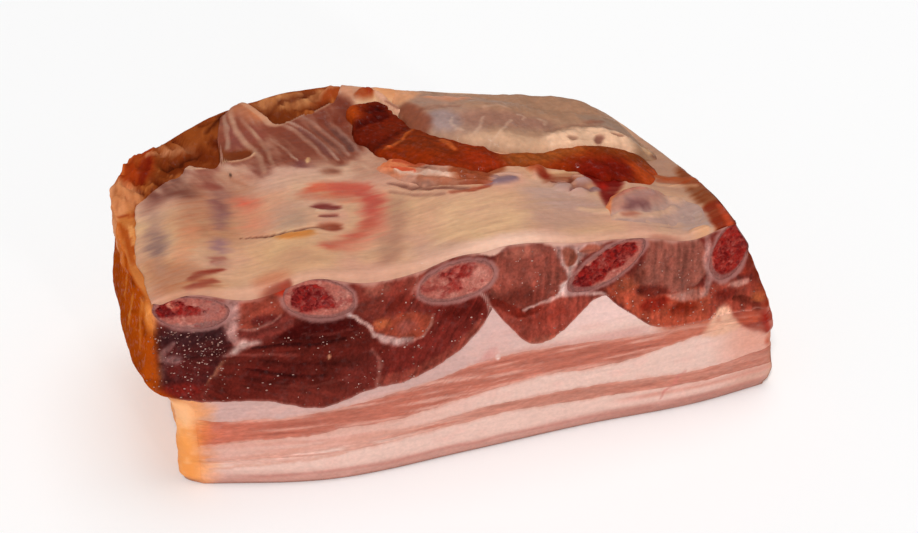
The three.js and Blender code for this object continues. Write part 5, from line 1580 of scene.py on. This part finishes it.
fatLobe = {
    "outline": [-8, 91, 8, 86, 34, 79.5, 51, 69, 59, 56, 63, 42.4, 50, 42.4, 34, 42.8, 20, 41.8, 6, 48.6,
        -6, 60, -9, 76],
    "high": 4.4, "full": 7.0, "grid": (300, 80), "tone": (164, 122, 96),
    "nodule": 3.2, "fibre": 0.25, "seed": 260,
    "nodular": lambda p: ramp(p[:, 0], 24, 32) * ramp(-p[:, 1], -55, -47) + 0.25,
    "fade": lambda xy: (1 - 0.85 * ramp(xy[:, 0], 55, 63))
    * (0.15 + 0.85 * np.maximum(ramp(88 - 0.3 * xy[:, 0] - xy[:, 1], 0, 18), 0.75 * ramp(xy[:, 0], 12, 40))),
}
lobeMarks = [
    patch((168, 128, 108), [-6, 76, -4, 60, 4, 50, 10, 48, 12, 58, 8, 72, 0, 84], 0.85, 2.4),
    patch((152, 104, 86), [4, 62, 14, 64, 32, 58, 32, 52, 20, 52, 8, 54], 0.8, 3, -0.5),
    patch((202, 158, 126), [2, 52, 14, 50, 28, 45, 28, 38, 16, 38, 4, 45], 0.8, 2, 0.3),
    patch((220, 176, 144), [28, 47, 38, 51, 52, 49, 58, 42, 46, 37, 30, 38], 0.9, 1.8, 0.8),
    patch((150, 112, 86), [48, 58, 53, 54.6, 56.6, 47, 56, 41, 64, 38, 66, 46, 58, 57], 0.9, 1.6),
    patch((162, 118, 90), [14, 82, 36, 78, 52, 66, 46, 56, 30, 60, 16, 66], 0.7, 2.4),
    patch((206, 134, 98), [0, 81, 9, 79, 14, 75, 6, 73], 0.9, 1.4, 0.5),
    patch((212, 146, 104), [-12, 94, -4, 91, 0, 84, -6, 80, -11, 84], 0.85, 1.4, 0.4),
    patch((150, 128, 128), [-5, 66, 1, 68, 6, 63, 4, 56, -2, 58], 0.7, 2),
    stroke((146, 100, 80), [-4, 72, 2, 70, 8, 68], 0.8, 0.6, 1.2, -0.3),
    stroke((206, 168, 146), [4, 62, 3, 58, 4.6, 54], 0.3, 0.5, 0.8, 0.2),
    stroke((204, 166, 142), [13, 59, 11, 55, 8, 51], 0.3, 0.45, 0.8, 0.2),
    stroke((206, 166, 140), [21, 57, 18, 53, 15, 49, 10, 46], 0.3, 0.5, 0.8, 0.25),
    stroke((198, 158, 132), [30, 58.6, 32, 57, 31, 55], 0.3, 0.5, 0.7, 0.2),
    stroke((196, 154, 130), [15, 65, 19, 65.4, 22, 64], 0.3, 0.45, 0.8, 0.2),
    stroke((198, 158, 134), [24, 60, 26, 59.4, 25, 57], 0.3, 0.5, 0.7, 0.2),
    patch((128, 62, 40), [-9, 79, -5.4, 79, -2.6, 72, -2, 64, -5, 59, -9, 64], 0.8, 1.6),
    patch((140, 118, 104), [43, 60, 51, 58, 57, 50, 52, 49, 46, 53], 0.6, 2, -0.3),
    oval((144, 86, 64), 47, 55.6, 3.2, 1.4, 0.75, 0.9),
    oval((206, 158, 118), 60, 44.6, 1.8, 1.5, 0.85, 0.6, 0.9),
    oval((120, 74, 56), 62.6, 43, 1.8, 1.2, 0.7, 0.7),
    oval((104, 54, 42), 45, 45, 1.6, 1.3, 0.8, 0.6, -0.9),
    oval((120, 76, 58), 51.4, 46.4, 1.8, 0.9, 0.7, 0.6, -0.8),
    oval((126, 80, 62), 37, 46, 1.6, 0.8, 0.6, 0.6, -0.6),
    stroke((150, 104, 82), [30, 50.6, 38, 53.6, 48, 52.6, 55, 48], 0.5, 0.6, 1, -0.4),
]
buildLump("fat_lobe", fatLobe, lobeMarks, "lobeFat", "lobe_fat")

almond = [35.5, 9.6, 38, 14.6, 42.5, 19.2, 48.5, 21.6, 54, 21.2, 56.5, 18.6, 52.5, 14.6, 45.5, 10.6, 39.5,
          8.6]
flap = {
    "outline": [35, 6, 37, 14.6, 42.5, 20.4, 48.5, 22.8, 54.5, 22.4, 61.5, 18, 64.5, 12, 62.5, 5, 51.5, 3],
    "high": 3.2, "full": 3.0, "grid": (180, 50), "tone": (176, 138, 124),
    "nodule": 6, "fibre": 0.15, "seed": 290,
    "nodular": lambda p: 0.0 * p[:, 0],
    "fade": lambda xy: 0.06 + 0.94 * maskOf(patch(None, almond, 1, 2.4), xy),
}
flapMarks = [
    patch((178, 122, 102), almond, 0.9, 1.4),
    stroke((216, 122, 74), [35.3, 9, 37.5, 14.8, 42.1, 19.4, 48.1, 22], 1.1, 0.9, 1, 0.2),
    stroke((196, 104, 84), [40.1, 15, 44.5, 18, 49.5, 19.4], 0.8, 0.5, 1.4),
    # mauve under the flap's lower front, and the dark crescent after it: painted shade under the fold
    stroke((156, 112, 106), [42, 12, 47, 14.6, 52, 17], 0.8, 0.6, 2.4),
    oval((104, 60, 62), 44.4, 10.8, 4.8, 1.2, 0.8, 1.3, -0.4, 20),
    # raised cream ridge along the flap's front: the ridge's tone with a painted highlight
    stroke((206, 158, 128), [36, 6.6, 43.5, 7, 51.5, 9.8, 57.5, 13.4], 1.2, 0.75, 1.4, 0.5),
    patch((170, 138, 127), [55.5, 4.6, 57.5, 14.6, 65.5, 13.6, 65.5, 4.6], 0.7, 2),
    oval((206, 156, 124), 59, 17.8, 2.6, 2.4, 0.85, 0.7, 1),
    oval((150, 78, 60), 41.4, 7.2, 2.8, 0.9, 0.75, 1.3, 0, 8),
]
buildLump("flap", flap, flapMarks, "pleura", "pleura")

# Stage: pale floor, soft light, and the camera at the photograph's angle


def buildStage():
    floorMesh = bpy.data.meshes.new("floor")
    reach = 4.0
    corners = [(-reach, -reach, 0), (reach, -reach, 0), (reach, reach, 0), (-reach, reach, 0)]
    floorMesh.from_pydata(corners, [], [(0, 1, 2, 3)])
    floorMaterial = bpy.data.materials.new("paleFloor")
    floorMaterial.use_nodes = True
    shader = floorMaterial.node_tree.nodes["Principled BSDF"]
    shader.inputs["Base Color"].default_value = (0.97, 0.97, 0.97, 1)
    shader.inputs["Roughness"].default_value = 0.7
    floorMesh.materials.append(floorMaterial)
    floor = addObject("floor", floorMesh)
    world = bpy.data.worlds.new("studio")
    world.use_nodes = True
    world.node_tree.nodes["Background"].inputs["Color"].default_value = (1, 1, 1, 1)
    world.node_tree.nodes["Background"].inputs["Strength"].default_value = 0.34
    bpy.context.scene.world = world
    lamps = [  # name, direction towards the light, softness in degrees, strength
        ("key", (-0.3, -0.62, 0.72), 9, 1.75),
        ("over", (0.15, 0.1, 0.98), 40, 0.85),
        ("glint", (0.2, -0.95, 0.22), 3, 0.25),
    ]
    for name, towards, softness, strength in lamps:
        data = bpy.data.lights.new(name, "SUN")
        data.energy = strength
        data.angle = math.radians(softness)
        lamp = addObject(name, data)
        lamp.location = Vector(towards)
        lamp.rotation_euler = Vector(towards).to_track_quat("Z", "Y").to_euler()


camera = {"azimuth": -16.5, "elevation": 33, "distance": 600, "focal": 2152,
          "aim": (-12.2, 0, 61.0), "width": 918}


def buildCamera():
    a, e = math.radians(camera["azimuth"]), math.radians(camera["elevation"])
    back = Vector((math.sin(a) * math.cos(e), -math.cos(a) * math.cos(e), math.sin(e)))
    aim = Vector(toFrame(np.array(camera["aim"], float)))
    data = bpy.data.cameras.new("camera")
    data.sensor_fit = "HORIZONTAL"
    data.sensor_width = 36
    data.lens = camera["focal"] / camera["width"] * data.sensor_width
    data.clip_start = 0.01
    viewer = addObject("camera", data)
    viewer.location = aim + back * camera["distance"] / 1000
    viewer.rotation_euler = (-back).to_track_quat("-Z", "Y").to_euler()
    bpy.context.scene.camera = viewer


buildStage()
buildCamera()
bpy.context.scene.view_settings.view_transform = "Standard"

print("belly: scene ready")
